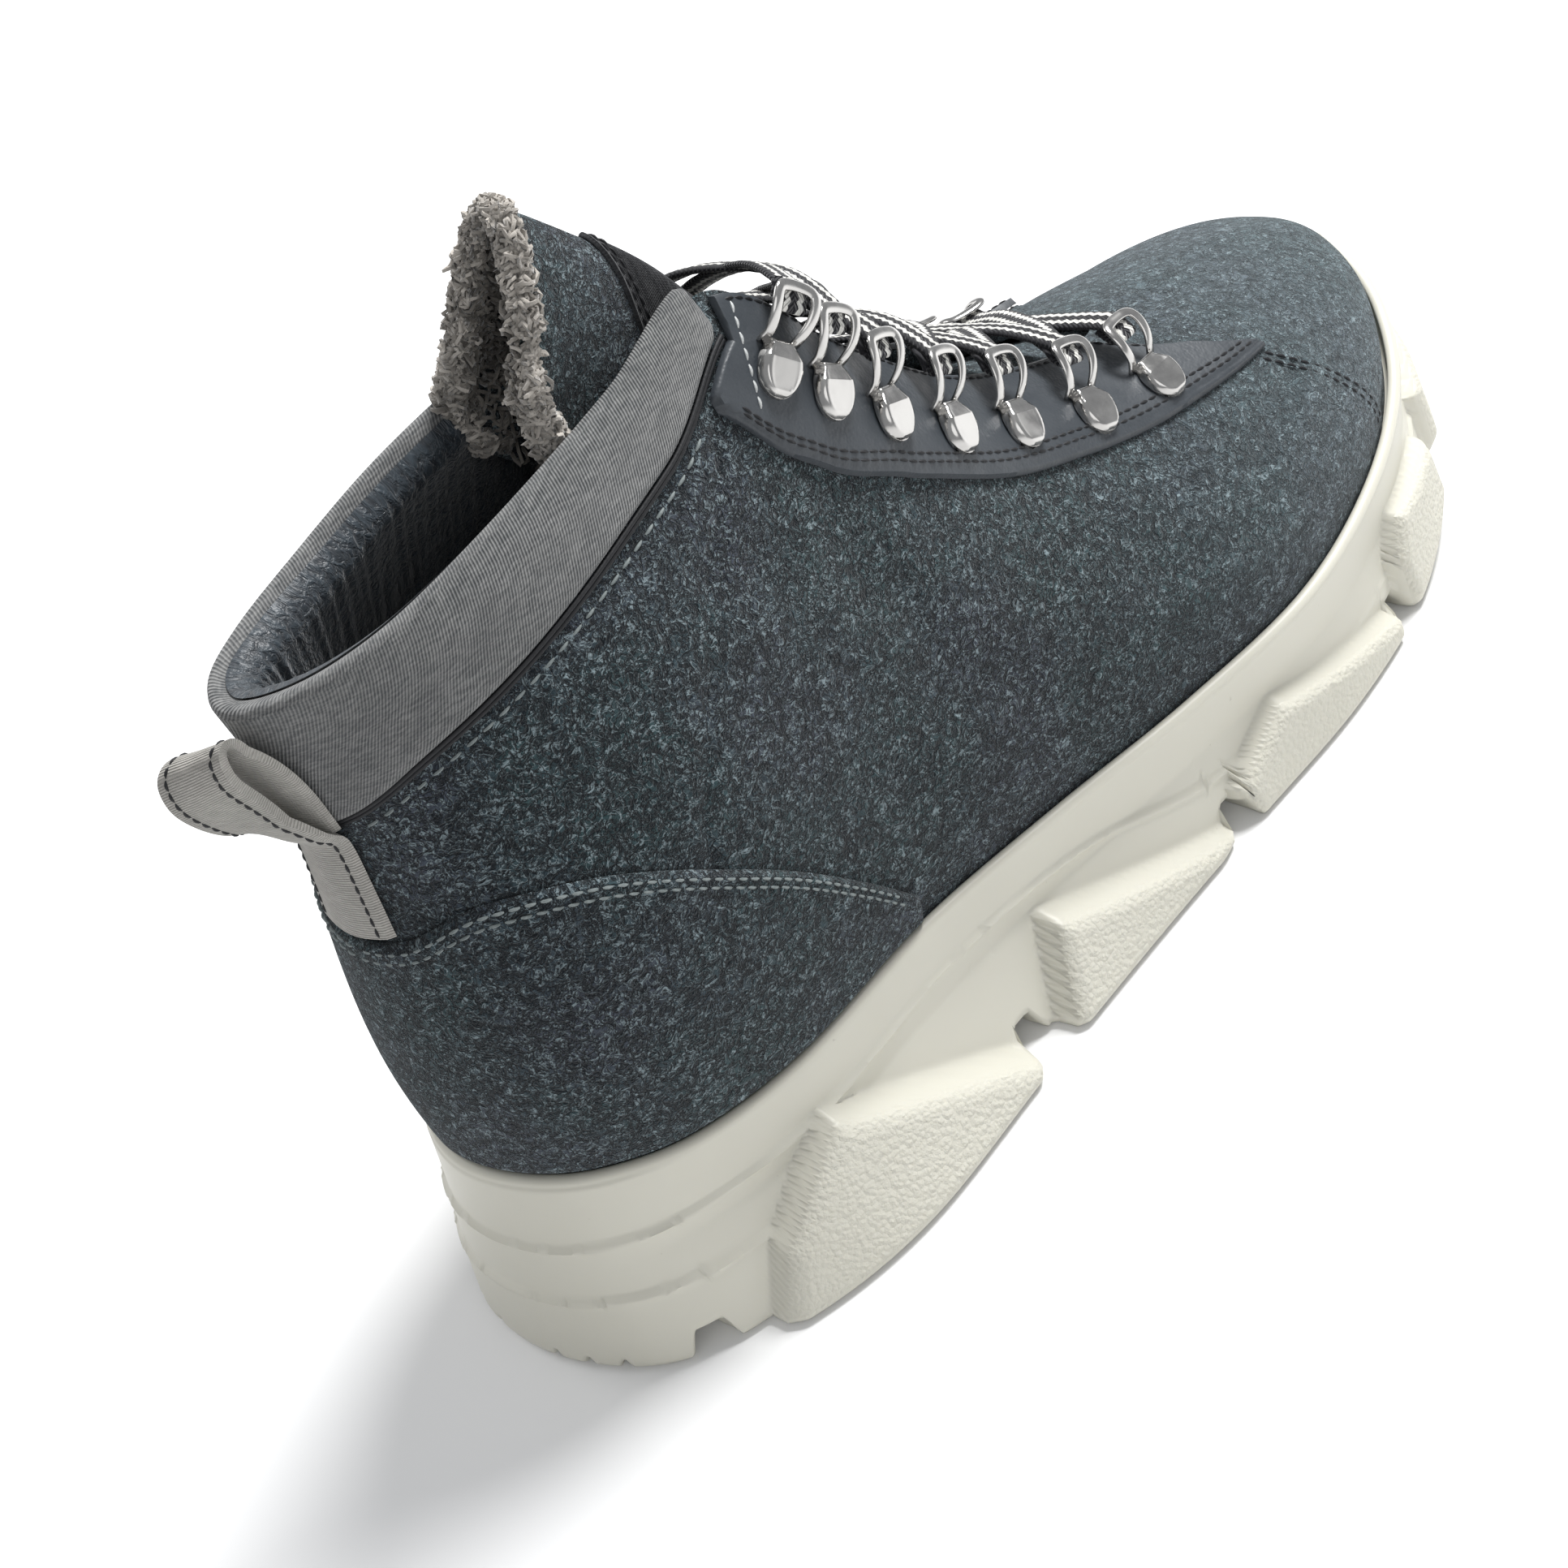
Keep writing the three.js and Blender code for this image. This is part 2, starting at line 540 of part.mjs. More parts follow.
function eyestay(sign) {
  const [from, to] = EYESTAY_ENDS.map((t) => sign * t).sort((a, b) => a - b);
  const low = (t) => edgeAt(EYESTAY_LOW, t);
  const high = (t) => edgeAt(EYESTAY_HIGH, t);
  const besideBand = [BAND_END + 0.02, BAND_END + 0.1].map((t) => sign * t);
  return overlay(from, to, low, high, 4, CURVED_GAP, CURVED_GAP + EYESTAY_THICK, besideBand);
}

function collarLining() {
  const top = 0.9;
  const near = -WALL - CURVED_GAP;
  return overlay(-LINING_END, LINING_END, () => LINING_LOW, () => top, 3, near, near - LINING_THICK);
}

// The collar's band: outside, over the top and a little way down inside
function collarBand() {
  const inside = 0.92;
  const sections = within(upperStations, -BAND_END, BAND_END).map((s) => {
    const low = edgeAt(BAND_EDGE, Math.abs(s)) + 0.012;
    const middle = Math.max(0.92, (1 + low) / 2);
    return [
      offUpper(s, low, CURVED_GAP),
      offUpper(s, low, 0.8 * BAND_THICK),
      offUpper(s, middle, GAP + BAND_THICK),
      offUpper(s, 1, GAP + BAND_THICK, 0),
      offUpper(s, 1, BAND_THICK / 2, 0.8 * BAND_TOP),
      offUpper(s, 1, -WALL / 2, BAND_TOP),
      offUpper(s, 1, -WALL - BAND_THICK / 2, 0.7 * BAND_TOP),
      offUpper(s, 1, -WALL - GAP - BAND_THICK, -1),
      offUpper(s, inside, -WALL - CURVED_GAP - 0.7 * BAND_THICK),
      offUpper(s, inside, -WALL - CURVED_GAP),
      offUpper(s, 1, -WALL - CURVED_GAP, GAP),
      offUpper(s, 1, CURVED_GAP, GAP),
      offUpper(s, middle, CURVED_GAP),
    ];
  });
  const end = upperFrame(-BAND_END, 1);
  const flat = sections[0].map((p) => [p.dot(end.out), p.dot(end.up)]);
  return skin(sections, false, outlineCap(flat));
}

function insole() {
  const inset = LIP + GAP + WALL + VAMP_STEP + 2 * GAP;
  const rings = [0, INSOLE_THICK].map((up) =>
    soleStations.map((s) => {
      const side = soleSide(s);
      return offRim(side, -inset, side.rim.z - SEAT_DEPTH + GAP + up);
    }),
  );
  return skin(rings, false, acrossCap(soleStations.length));
}

// Tongue: t goes from under the vamp to the top, a from the outer edge, -1, to the inner edge, 1.
function tonguePoint(t, a) {
  const [x, height, outer, inner, back, down] = alongRows(TONGUE_ROWS, t);
  const turn = 1 - Math.cos((a * Math.PI) / 2);
  const sideways = Math.sin((a * Math.PI) / 2);
  return new THREE.Vector3(
    (x - back * turn) * LENGTH,
    ((inner + outer) / 2 + ((inner - outer) / 2) * sideways) * BALL_WIDTH,
    HEEL_HEIGHT + (height - down * turn) * COLLAR_RISE,
  );
}

function offTongue(t, a, out) {
  const step = 0.02;
  const along = tonguePoint(t + step, a).sub(tonguePoint(t - step, a));
  const across = tonguePoint(t, a + step).sub(tonguePoint(t, a - step));
  const normal = new THREE.Vector3().crossVectors(across, along).normalize();
  return tonguePoint(t, a).addScaledVector(normal, out);
}

const tongueStations = steps(0, TONGUE_LAST, 16);
const tongueAcross = steps(-1, 1, 8);

function tongueSheet(from, to, half, far, near) {
  const places = within(tongueAcross, -half, half);
  const sections = within(tongueStations, from, to).map((t) => {
    const row = (out) => places.map((a) => offTongue(t, a, out));
    return [...row(far), ...row(near).reverse()];
  });
  return skin(sections, false, ladderCap(2 * places.length));
}

function tongue() {
  return tongueSheet(0, TONGUE_LAST, 1, 0, -TONGUE_THICK);
}

function tongueStrip() {
  return tongueSheet(STRIP_SPAN[0], STRIP_SPAN[1], STRIP_HALF, STRIP_GAP + STRIP_THICK, STRIP_GAP);
}

// Pull loop: a webbing strap up the heel, out, over and back to the band
function pullLoop() {
  const columns = steps(-STRAP_HALF, STRAP_HALF, 4);
  const sections = STRAP_PATH.map(([v, off], i) => {
    const before = STRAP_PATH[Math.max(i - 1, 0)];
    const after = STRAP_PATH[Math.min(i + 1, STRAP_PATH.length - 1)];
    const [rise, reach] = [after[0] - before[0], after[1] - before[1]];
    const along = new THREE.Vector2(rise * COLLAR_RISE, reach * STRAP_REACH).normalize();
    const flat = Math.min(1, Math.max(0, (off - STRAP_FLAT[0]) / (STRAP_FLAT[1] - STRAP_FLAT[0])));
    const out = off * STRAP_REACH;
    const row = (thick) => {
      const place = (s, away) =>
        offUpper(s, v, away).addScaledVector(upperFrame(s, 0.9).up, -thick * along.y);
      const middle = place(0, out + thick * along.x);
      return columns.map((s) => {
        const curved = place(s, out + thick * along.x);
        const straight = middle.clone().setY(place(s, 0).y);
        return curved.lerp(straight, flat);
      });
    };
    return [...row(STRAP_THICK), ...row(0).reverse()];
  });
  return skin(sections, false, ladderCap(2 * columns.length));
}

// A lacing ring's own frame: its plate's middle on the eyestay, and where the lace turns round its bar
function ringFrame(index, sign) {
  const s = sign * RING_STRIPS[index];
  const frame = upperFrame(s, RING_HEIGHT);
  const onEyestay = CURVED_GAP + EYESTAY_THICK + CURVED_GAP;
  const middle = frame.at.clone().addScaledVector(frame.out, onEyestay);
  const along = new THREE.Vector3().crossVectors(frame.out, frame.up).normalize();
  const lean = frame.up.clone().multiplyScalar(Math.cos(RING_TILT));
  lean.addScaledVector(frame.out, Math.sin(RING_TILT));
  const fold = middle.clone().addScaledVector(frame.up, PLATE_LENGTH / 2);
  fold.addScaledVector(frame.out, RING_WIRE);
  const bar = fold.clone().addScaledVector(lean, RING_LENGTH);
  const over = new THREE.Vector3().crossVectors(lean, along).normalize();
  if (over.dot(frame.out) < 0) over.negate();
  return { ...frame, middle, along, lean, fold, bar, over };
}

// A rounded bar between the points of a closed or an open path
function wire(path, closed, radius, sides) {
  const count = path.length;
  const centre = path.reduce((sum, p) => sum.add(p), new THREE.Vector3()).divideScalar(count);
  const plane = new THREE.Vector3()
    .subVectors(path[0], centre)
    .cross(new THREE.Vector3().subVectors(path[1], centre))
    .normalize();
  const sections = path.map((p, i) => {
    const before = path[(i + count - 1) % count];
    const after = path[(i + 1) % count];
    const along = new THREE.Vector3().subVectors(after, before).normalize();
    const side = new THREE.Vector3().crossVectors(along, plane).normalize();
    return Array.from({ length: sides }, (_, k) => {
      const angle = (2 * Math.PI * (k + 0.5)) / sides;
      const at = p.clone().addScaledVector(side, radius * Math.cos(angle));
      return at.addScaledVector(plane, radius * Math.sin(angle));
    });
  });
  return skin(sections, closed);
}

// One lacing ring: a plate on the eyestay with a folded top, and a D of wire through the fold
function lacingRing(index, sign) {
  const f = ringFrame(index, sign);
  const outline = [[-0.5, 0.5], [-0.5, -0.1], [-0.36, -0.38], [0, -0.5], [0.36, -0.38], [0.5, -0.1],
    [0.5, 0.5]];
  const level = (up) =>
    outline.map(([across, along]) =>
      f.middle
        .clone()
        .addScaledVector(f.along, across * PLATE_WIDTH)
        .addScaledVector(f.up, along * PLATE_LENGTH)
        .addScaledVector(f.out, up),
    );
  const plate = skin([level(0), level(PLATE_THICK)], false, outlineCap(outline));
  const shape = [[-0.32, 0], [-0.5, 0.55], [-0.46, 0.9], [-0.3, 1], [0.3, 1], [0.46, 0.9], [0.5, 0.55],
    [0.32, 0]];
  const path = shape.map(([across, along]) =>
    f.fold.clone().addScaledVector(f.along, across * RING_WIDTH).addScaledVector(f.lean, along * RING_LENGTH),
  );
  return plate.add(wire(path, true, RING_WIRE, 5));
}

// The way out of the throat, square to its slope
const THROAT_OUT = new THREE.Vector3(0.76, 0, 0.65);

// The flat lace: from the front bar it crosses the throat up to the top rings, once from each side
function laceTurn(index, sign, angles) {
  const clear = RING_WIRE + 2 * CURVED_GAP + LACE_THICK / 2;
  const f = ringFrame(index, sign);
  return angles.map((angle) => {
    const at = f.bar.clone().addScaledVector(f.lean, -clear * Math.cos(angle));
    return { at: at.addScaledVector(f.over, clear * Math.sin(angle)), wide: f.along, sign };
  });
}

function laceRun(start) {
  const path = [];
  let sign = start;
  for (let index = RING_STRIPS.length - 1; index >= 0; index--) {
    path.push(...laceTurn(index, sign, [-0.9, 0, 0.9, 1.9, 2.9]));
    sign = -sign;
  }
  if (sign > 0) path.push(...laceTurn(0, sign, [2.9]));
  return path;
}

function laceStrap(path) {
  const points = [];
  path.forEach((p, i) => {
    points.push(p);
    const next = path[i + 1];
    if (!next || next.sign === p.sign) return;
    for (const share of [0.25, 0.5, 0.75]) {
      const at = p.at.clone().lerp(next.at, share);
      at.addScaledVector(THROAT_OUT, LACE_ARCH * Math.sin(Math.PI * share) ** 0.6);
      const nextWide = next.wide.clone().multiplyScalar(Math.sign(p.wide.dot(next.wide)));
      const wide = p.wide.clone().lerp(nextWide, share);
      points.push({ at, wide: wide.normalize() });
    }
  });
  let last = points[0].wide;
  const sections = points.map((p, i) => {
    const before = points[Math.max(i - 1, 0)].at;
    const after = points[Math.min(i + 1, points.length - 1)].at;
    const along = new THREE.Vector3().subVectors(after, before).normalize();
    const wide = p.wide.clone().addScaledVector(along, -p.wide.dot(along)).normalize();
    if (wide.dot(last) < 0) wide.negate();
    last = wide;
    const thick = new THREE.Vector3().crossVectors(along, wide);
    return [[-1, -1], [1, -1], [1, 1], [-1, 1]].map(([a, b]) =>
      p.at
        .clone()
        .addScaledVector(wide, (a * LACE_WIDTH) / 2)
        .addScaledVector(thick, (b * LACE_THICK) / 2),
    );
  });
  return skin(sections, false, ladderCap(4));
}

function lace() {
  return laceStrap(laceRun(-1)).add(laceStrap(laceRun(1)));
}

// Materials
const finish = (color, roughness, metalness = 0) =>
  new THREE.MeshStandardMaterial({ color, roughness, metalness });
const felt = finish(0x4d535b, 0.95);
const rubber = finish(0xdedcd3, 0.6);
const leather = finish(0x343a42, 0.5);
const twill = finish(0x84868a, 0.85);
const lining = finish(0x1d232d, 0.7);
const webbing = finish(0x9a9791, 0.8);
const pile = finish(0x6f675f, 1);
const ribbon = finish(0x2c2f33, 0.7);
const cord = finish(0x8f8f8c, 0.8);
const nickel = finish(0xd8d8d6, 0.2, 1);

const shoe = new THREE.Group();
shoe.position.x = -HEEL_REST;
function addPiece(name, made, material) {
  const mesh = new THREE.Mesh(geometryOf(made), material);
  mesh.name = name;
  shoe.add(mesh);
}

addPiece("sole", sole(), rubber);
addPiece("upper", upper(), felt);
addPiece("insole", insole(), pile);
addPiece("tongue", tongue(), felt);
addPiece("tongue_strip", tongueStrip(), ribbon);
addPiece("heel_counter", heelCounter(), felt);
addPiece("collar_band", collarBand(), twill);
addPiece("collar_lining", collarLining(), lining);
addPiece("pull_loop", pullLoop(), webbing);
for (const [side, sign] of [["outer", -1], ["inner", 1]]) {
  addPiece("eyestay_" + side, eyestay(sign), leather);
  RING_STRIPS.forEach((_, index) => addPiece(`ring_${side}_${index + 1}`, lacingRing(index, sign), nickel));
}
addPiece("lace", lace(), cord);

export default shoe;
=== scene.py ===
# Wool sneaker, the right shoe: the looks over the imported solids. Sizes in millimetres until a mesh is made.
import math

import bpy
import numpy as np
from mathutils import Matrix, Vector


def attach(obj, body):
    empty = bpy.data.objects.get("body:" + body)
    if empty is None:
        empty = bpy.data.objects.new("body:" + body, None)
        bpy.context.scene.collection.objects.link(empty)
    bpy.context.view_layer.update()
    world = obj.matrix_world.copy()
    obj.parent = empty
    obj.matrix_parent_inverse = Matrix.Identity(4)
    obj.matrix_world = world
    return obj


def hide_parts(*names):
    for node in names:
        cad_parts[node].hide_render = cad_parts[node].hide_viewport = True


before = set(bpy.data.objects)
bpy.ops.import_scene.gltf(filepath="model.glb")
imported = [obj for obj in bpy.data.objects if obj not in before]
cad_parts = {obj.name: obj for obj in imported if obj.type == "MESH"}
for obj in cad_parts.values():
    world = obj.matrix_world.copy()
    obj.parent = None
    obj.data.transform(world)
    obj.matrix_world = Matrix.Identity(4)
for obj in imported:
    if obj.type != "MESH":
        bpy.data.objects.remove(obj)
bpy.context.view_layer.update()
rng = np.random.default_rng(7)
MM = 0.001

# Driving sizes, as in the part's source
LENGTH = 261.0
BALL_WIDTH = 97.0
HEEL_HEIGHT = 43.0
COLLAR_RISE = 103.0
VAMP_RISE = 30.0
TOE_SPRING = 12.0
SPRING_START = 0.76
SOLE_FLARE = 15.0
POD_DEPTH = 6.0
WALL_STEP = 1.2
LIP = 1.7
LIP_ROUND = 0.8
SEAT_DEPTH = 3.3
EDGE_HEIGHT = 2.2
EDGE_ROUND = 1.8
HEEL_REST = 45.0
WALL = 2.4
GAP = 0.3
CURVED_GAP = 0.45
VAMP_STEP = 0.6
COUNTER_THICK = 1.3
EYESTAY_THICK = 1.4
LINING_THICK = 3.2
INSOLE_THICK = 4.0
STRAP_THICK = 1.5
LACE_WIDTH = 6.2
LACE_THICK = 1.4
RING_WIRE = 0.8
RING_WIDTH = 8.6
PLATE_WIDTH = 8.4
PLATE_LENGTH = 9.4
PLATE_THICK = 1.1
FLOOR_HALF = 2600.0

# Camera: the photograph's place and turn, in the row's frame, then aimed at the one shoe
PHOTO_SIZE = 1932
PHOTO_AZIMUTH, PHOTO_ELEVATION, PHOTO_ROLL = (math.radians(v) for v in (43.585, 41.986, -17.751))
PHOTO_FOCAL = 2233.9  # in the photo's pixels
CAMERA_PLACE = np.array([-180.6, -324.7, 393.2])
SHOE_MIDDLE = (711, 1030)  # in the photo's pixels
SHOE_SPAN = 1190  # the photo's pixels that fill the new frame
SENSOR = 36.0


def unit(v):
    v = np.asarray(v, float)
    return v / np.maximum(np.linalg.norm(v, axis=-1, keepdims=True), 1e-12)


def photo_axes():
    a, e, r = PHOTO_AZIMUTH, PHOTO_ELEVATION, PHOTO_ROLL
    back = np.array([-math.sin(a) * math.cos(e), -math.cos(a) * math.cos(e), math.sin(e)])
    right = np.array([math.cos(a), -math.sin(a), 0.0])
    up = np.cross(back, right)
    return math.cos(r) * right + math.sin(r) * up, -math.sin(r) * right + math.cos(r) * up, back


def add_camera():
    right, up, back = photo_axes()
    across, down = SHOE_MIDDLE[0] - PHOTO_SIZE / 2, SHOE_MIDDLE[1] - PHOTO_SIZE / 2
    aim = unit(-back * PHOTO_FOCAL + right * across - up * down)
    level = unit(np.cross(aim, up))
    data = bpy.data.cameras.new("camera")
    data.sensor_width = SENSOR
    data.lens = SENSOR * math.hypot(PHOTO_FOCAL, across, down) / SHOE_SPAN
    camera = bpy.data.objects.new("camera", data)
    bpy.context.scene.collection.objects.link(camera)
    turn = np.array([level, np.cross(level, aim), -aim]).T
    camera.matrix_world = Matrix.Translation(Vector(CAMERA_PLACE * MM)) @ Matrix(turn.tolist()).to_4x4()
    data.clip_start, data.clip_end = 0.01, 20
    bpy.context.scene.camera = camera


add_camera()

# Rows of the sole from the heel's back to the toe's tip.
# x of LENGTH; outer and inner half widths of BALL_WIDTH; rim height of HEEL_HEIGHT;
# flare outside and inside of SOLE_FLARE; pods of POD_DEPTH; heights of the two steps as shares of the side;
# how much of WALL_STEP each step has.
SOLE_ROWS = [
    [0.0, 0.0, 0.0, 1.0, 0.37, 0.37, 0.0, 0.65, 0.36, 1, 1],
    [0.011, 0.128, 0.118, 0.99, 0.42, 0.38, 0.0, 0.65, 0.36, 1, 1],
    [0.04, 0.236, 0.216, 0.965, 0.6, 0.42, 0.3, 0.66, 0.37, 1, 1],
    [0.095, 0.315, 0.295, 0.9, 0.8, 0.46, 0.9, 0.66, 0.35, 1, 1],
    [0.182, 0.354, 0.335, 0.835, 0.96, 0.48, 1.0, 0.69, 0.35, 1, 0.3],
    [0.309, 0.364, 0.345, 0.815, 0.9, 0.48, 1.0, 0.72, 0.36, 1, 0],
    [0.436, 0.403, 0.374, 0.745, 0.68, 0.4, 0.9, 0.66, 0.32, 1, 0],
    [0.564, 0.462, 0.425, 0.69, 0.38, 0.3, 0.6, 0.36, 0.17, 0.8, 0],
    [0.691, 0.502, 0.475, 0.675, 0.22, 0.22, 0.5, 0.28, 0.13, 0.2, 0],
    [0.8, 0.472, 0.46, 0.73, 0.2, 0.2, 0.5, 0.32, 0.16, 0.3, 0],
    [0.89, 0.384, 0.392, 0.8, 0.2, 0.2, 0.5, 0.36, 0.18, 0.6, 0],
    [0.953, 0.256, 0.285, 0.9, 0.22, 0.22, 0.45, 0.4, 0.2, 0.8, 0],
    [0.989, 0.118, 0.15, 0.97, 0.24, 0.24, 0.4, 0.42, 0.2, 1, 0],
    [1.0, 0.0, 0.0, 1.0, 0.25, 0.25, 0.4, 0.42, 0.2, 1, 0],
]
SOLE_LAST = len(SOLE_ROWS) - 1

# Strips of the upper, from the rim to the top edge, heel to toe.
# row of the sole; top x of LENGTH; outer and inner top y of BALL_WIDTH; top height of COLLAR_RISE
# and VAMP_RISE over HEEL_HEIGHT; lean at the foot of BALL_WIDTH; rise at the foot of the strip's height;
# reach at the top of BALL_WIDTH; drop at the top of the strip's height.
STRIP_ROWS = [
    [0.0, 0.025, 0.02, 0.02, 0.952, 0, 0.041, 0.38, -0.062, 0.38],
    [1.0, 0.039, -0.046, 0.09, 0.953, 0, 0.051, 0.38, -0.041, 0.36],
    [2.0, 0.073, -0.102, 0.13, 0.956, 0, 0.062, 0.36, 0.02, 0.33],
    [3.0, 0.126, -0.133, 0.16, 0.96, 0, 0.072, 0.34, 0.09, 0.28],
    [4.0, 0.211, -0.147, 0.18, 0.975, 0, 0.072, 0.33, 0.155, 0.24],
    [4.7, 0.307, -0.136, 0.165, 0.988, 0, 0.072, 0.32, 0.17, 0.215],
    [5.3, 0.406, -0.1, 0.134, 1.0, 0, 0.072, 0.29, 0.165, 0.19],
    [5.85, 0.475, -0.11, 0.145, 0.757, 0.03, 0.062, 0.33, 0.206, 0.15],
    [6.4, 0.544, -0.115, 0.138, 0.545, 0.06, 0.051, 0.38, 0.227, 0.14],
    [7.0, 0.613, -0.104, 0.122, 0.37, 0.22, 0.041, 0.41, 0.247, 0.135],
    [7.7, 0.67, -0.09, 0.102, 0.19, 0.56, 0.041, 0.42, 0.255, 0.12],
    [8.6, 0.709, -0.072, 0.086, 0.07, 0.83, 0.041, 0.4, 0.255, 0.09],
    [9.6, 0.726, -0.051, 0.062, 0.02, 0.95, 0.041, 0.4, 0.265, 0.1],
    [10.6, 0.734, -0.031, 0.036, 0, 1.0, 0.041, 0.38, 0.278, 0.16],
    [11.7, 0.737, -0.015, 0.018, 0, 1.0, 0.038, 0.4, 0.28, 0.22],
    [13.0, 0.7375, 0.0, 0.0, 0, 1.0, 0.031, 0.4, 0.288, 0.23],
]
STRIP_LAST = len(STRIP_ROWS) - 1
INNER_REACH = 0.8
INNER_LEAN = 0.4
INNER_DROP = 0.06

# Edges on the upper: the strip, and the height up it
BAND_EDGE = [[0, 0.77], [1.3, 0.785], [2.3, 0.815], [3.5, 0.835], [4.5, 0.86], [5.4, 0.885], [5.9, 0.92]]
BAND_END = 5.85
COUNTER_EDGE = [[0, 0.53], [1, 0.53], [2.2, 0.565], [3.2, 0.51], [4.1, 0.365], [4.9, 0.2], [5.5, 0.06]]
COUNTER_END = 5.5
EYESTAY_LOW = [[5.5, 0.845], [5.8, 0.73], [6.1, 0.68], [6.9, 0.685], [7.9, 0.7], [9.1, 0.7],
               [10.4, 0.67], [11.2, 0.63], [12, 0.575]]
EYESTAY_HIGH = [[5.5, 0.87], [5.88, 0.905], [5.95, 0.985], [10.5, 0.985], [11.2, 0.84],
                [11.6, 0.77], [12, 0.61]]
EYESTAY_ENDS = (5.5, 12)
VAMP_SEAM = 12
QUARTER_SEAM = [[0.0, 3.4], [0.47, 4.0], [0.67, 4.67], [0.8, 5.33], [0.86, 5.5]]  # height, strip
LINING_LOW = 0.6
LINING_END = 5.1
RING_STRIPS = [6.05, 6.5, 7.18, 7.88, 8.72, 9.6, 10.6]

# Side pods and toe bumper: corners as a share of LENGTH and of the side's height
PODS = [
    [[0.065, 0], [0.1, 0.33], [0.134, 0.53], [0.169, 0.7], [0.318, 0.1], [0.31, 0]],
    [[0.341, 0], [0.387, 0.55], [0.552, 0.08], [0.547, 0]],
    [[0.575, 0], [0.566, 0.27], [0.628, 0.55], [0.772, 0.17], [0.77, 0]],
    [[0.792, 0], [0.79, 0.4], [0.808, 0.66], [0.898, 0.45], [0.903, 0]],
    [[0.928, 0], [0.926, 0.5], [0.962, 0.56], [0.995, 0.5], [0.995, 0]],
]
GROOVES = [0.034, 0.33, 0.56, 0.78, 0.915]
GROOVE_WIDTH = 8.0
GROOVE_DEPTH = 5.0

# Tongue sections from under the vamp to the top: x of LENGTH, height of COLLAR_RISE over HEEL_HEIGHT,
# outer and inner edge y of BALL_WIDTH, how far the edges lie back of LENGTH and down of COLLAR_RISE.
TONGUE_ROWS = [
    [0.766, 0.2265, -0.1, 0.1, 0, 0.02],
    [0.713, 0.2725, -0.14, 0.15, 0, 0.05],
    [0.659, 0.3445, -0.16, 0.17, 0.002, 0.07],
    [0.598, 0.42, -0.165, 0.18, 0.006, 0.1],
    [0.536, 0.54, -0.16, 0.175, 0.018, 0.14],
    [0.474, 0.72, -0.13, 0.155, 0.05, 0.17],
    [0.433, 0.885, -0.09, 0.12, 0.09, 0.17],
    [0.402, 1.03, -0.072, 0.104, 0.124, 0.15],
    [0.371, 1.14, -0.07, 0.102, 0.105, 0.16],
    [0.341, 1.235, -0.07, 0.102, 0.075, 0.19],
    [0.318, 1.3, -0.07, 0.102, 0.046, 0.215],
]
TONGUE_LAST = len(TONGUE_ROWS) - 1
TONGUE_SWELL = 5.5  # millimetres, of the inner edge near the top
STRIP_SPAN = (5, 8.125)
STRIP_HALF = 0.75

# Pull loop: height up the heel's strip and how far it stands off the wall
STRAP_PATH = [[0.545, 0.3], [0.64, 0.3], [0.73, 0.4], [0.765, 1.8], [0.79, 5.2], [0.83, 9.4],
              [0.88, 12.4], [0.935, 14], [0.98, 13.2], [0.985, 10.8], [0.95, 8.2], [0.9, 5.8], [0.85, 4.2],
              [0.8, 3.2], [0.77, 2.6]]
STRAP_HALF = 0.95
STRAP_FLAT = (2, 9)


# Curves and surfaces, as in the part's source
def blend(p0, p1, p2, p3, f):
    cubic = 3 * (p1 - p2) + p3 - p0
    square = 2 * p0 - 5 * p1 + 4 * p2 - p3
    return p1 + 0.5 * f * (p2 - p0 + f * (square + f * cubic))


def around_loop(table, last, lap):
    """table holds the rows for -last ... last - 1; the first column grows by lap each time round."""
    table = np.array(table, float)

    def row(k):
        laps = np.floor_divide(k + last, 2 * last)
        values = table[k - laps * 2 * last + last].copy()
        values[..., 0] += laps * lap
        return values

    def at(s):
        s = np.asarray(s, float)
        k = np.floor(s).astype(int)
        return blend(row(k - 1), row(k), row(k + 1), row(k + 2), (s - k)[..., None])

    return at


def along_rows(rows, t):
    rows = np.array(rows, float)
    rows = np.vstack([2 * rows[0] - rows[1], rows, 2 * rows[-1] - rows[-2]])
    t = np.asarray(t, float)
    k = np.clip(np.floor(t).astype(int), 0, len(rows) - 4)
    return blend(rows[k], rows[k + 1], rows[k + 2], rows[k + 3], (t - k)[..., None])


def edge_at(pairs, t):
    return np.interp(t, [p[0] for p in pairs], [p[1] for p in pairs])


def sole_row(k):
    x, outer, inner, height, flare_out, flare_in, *rest = SOLE_ROWS[abs(k)]
    return [0, x, -outer if k < 0 else inner, height, flare_out if k < 0 else flare_in, *rest]


def strip_row(k):
    row, x, outer, inner, *rest = STRIP_ROWS[abs(k)]
    return [-row if k < 0 else row, x, outer if k < 0 else inner, *rest]


sole_loop = around_loop([sole_row(k) for k in range(-SOLE_LAST, SOLE_LAST)], SOLE_LAST, 0)
strip_loop = around_loop([strip_row(k) for k in range(-STRIP_LAST, STRIP_LAST)], STRIP_LAST, 2 * SOLE_LAST)


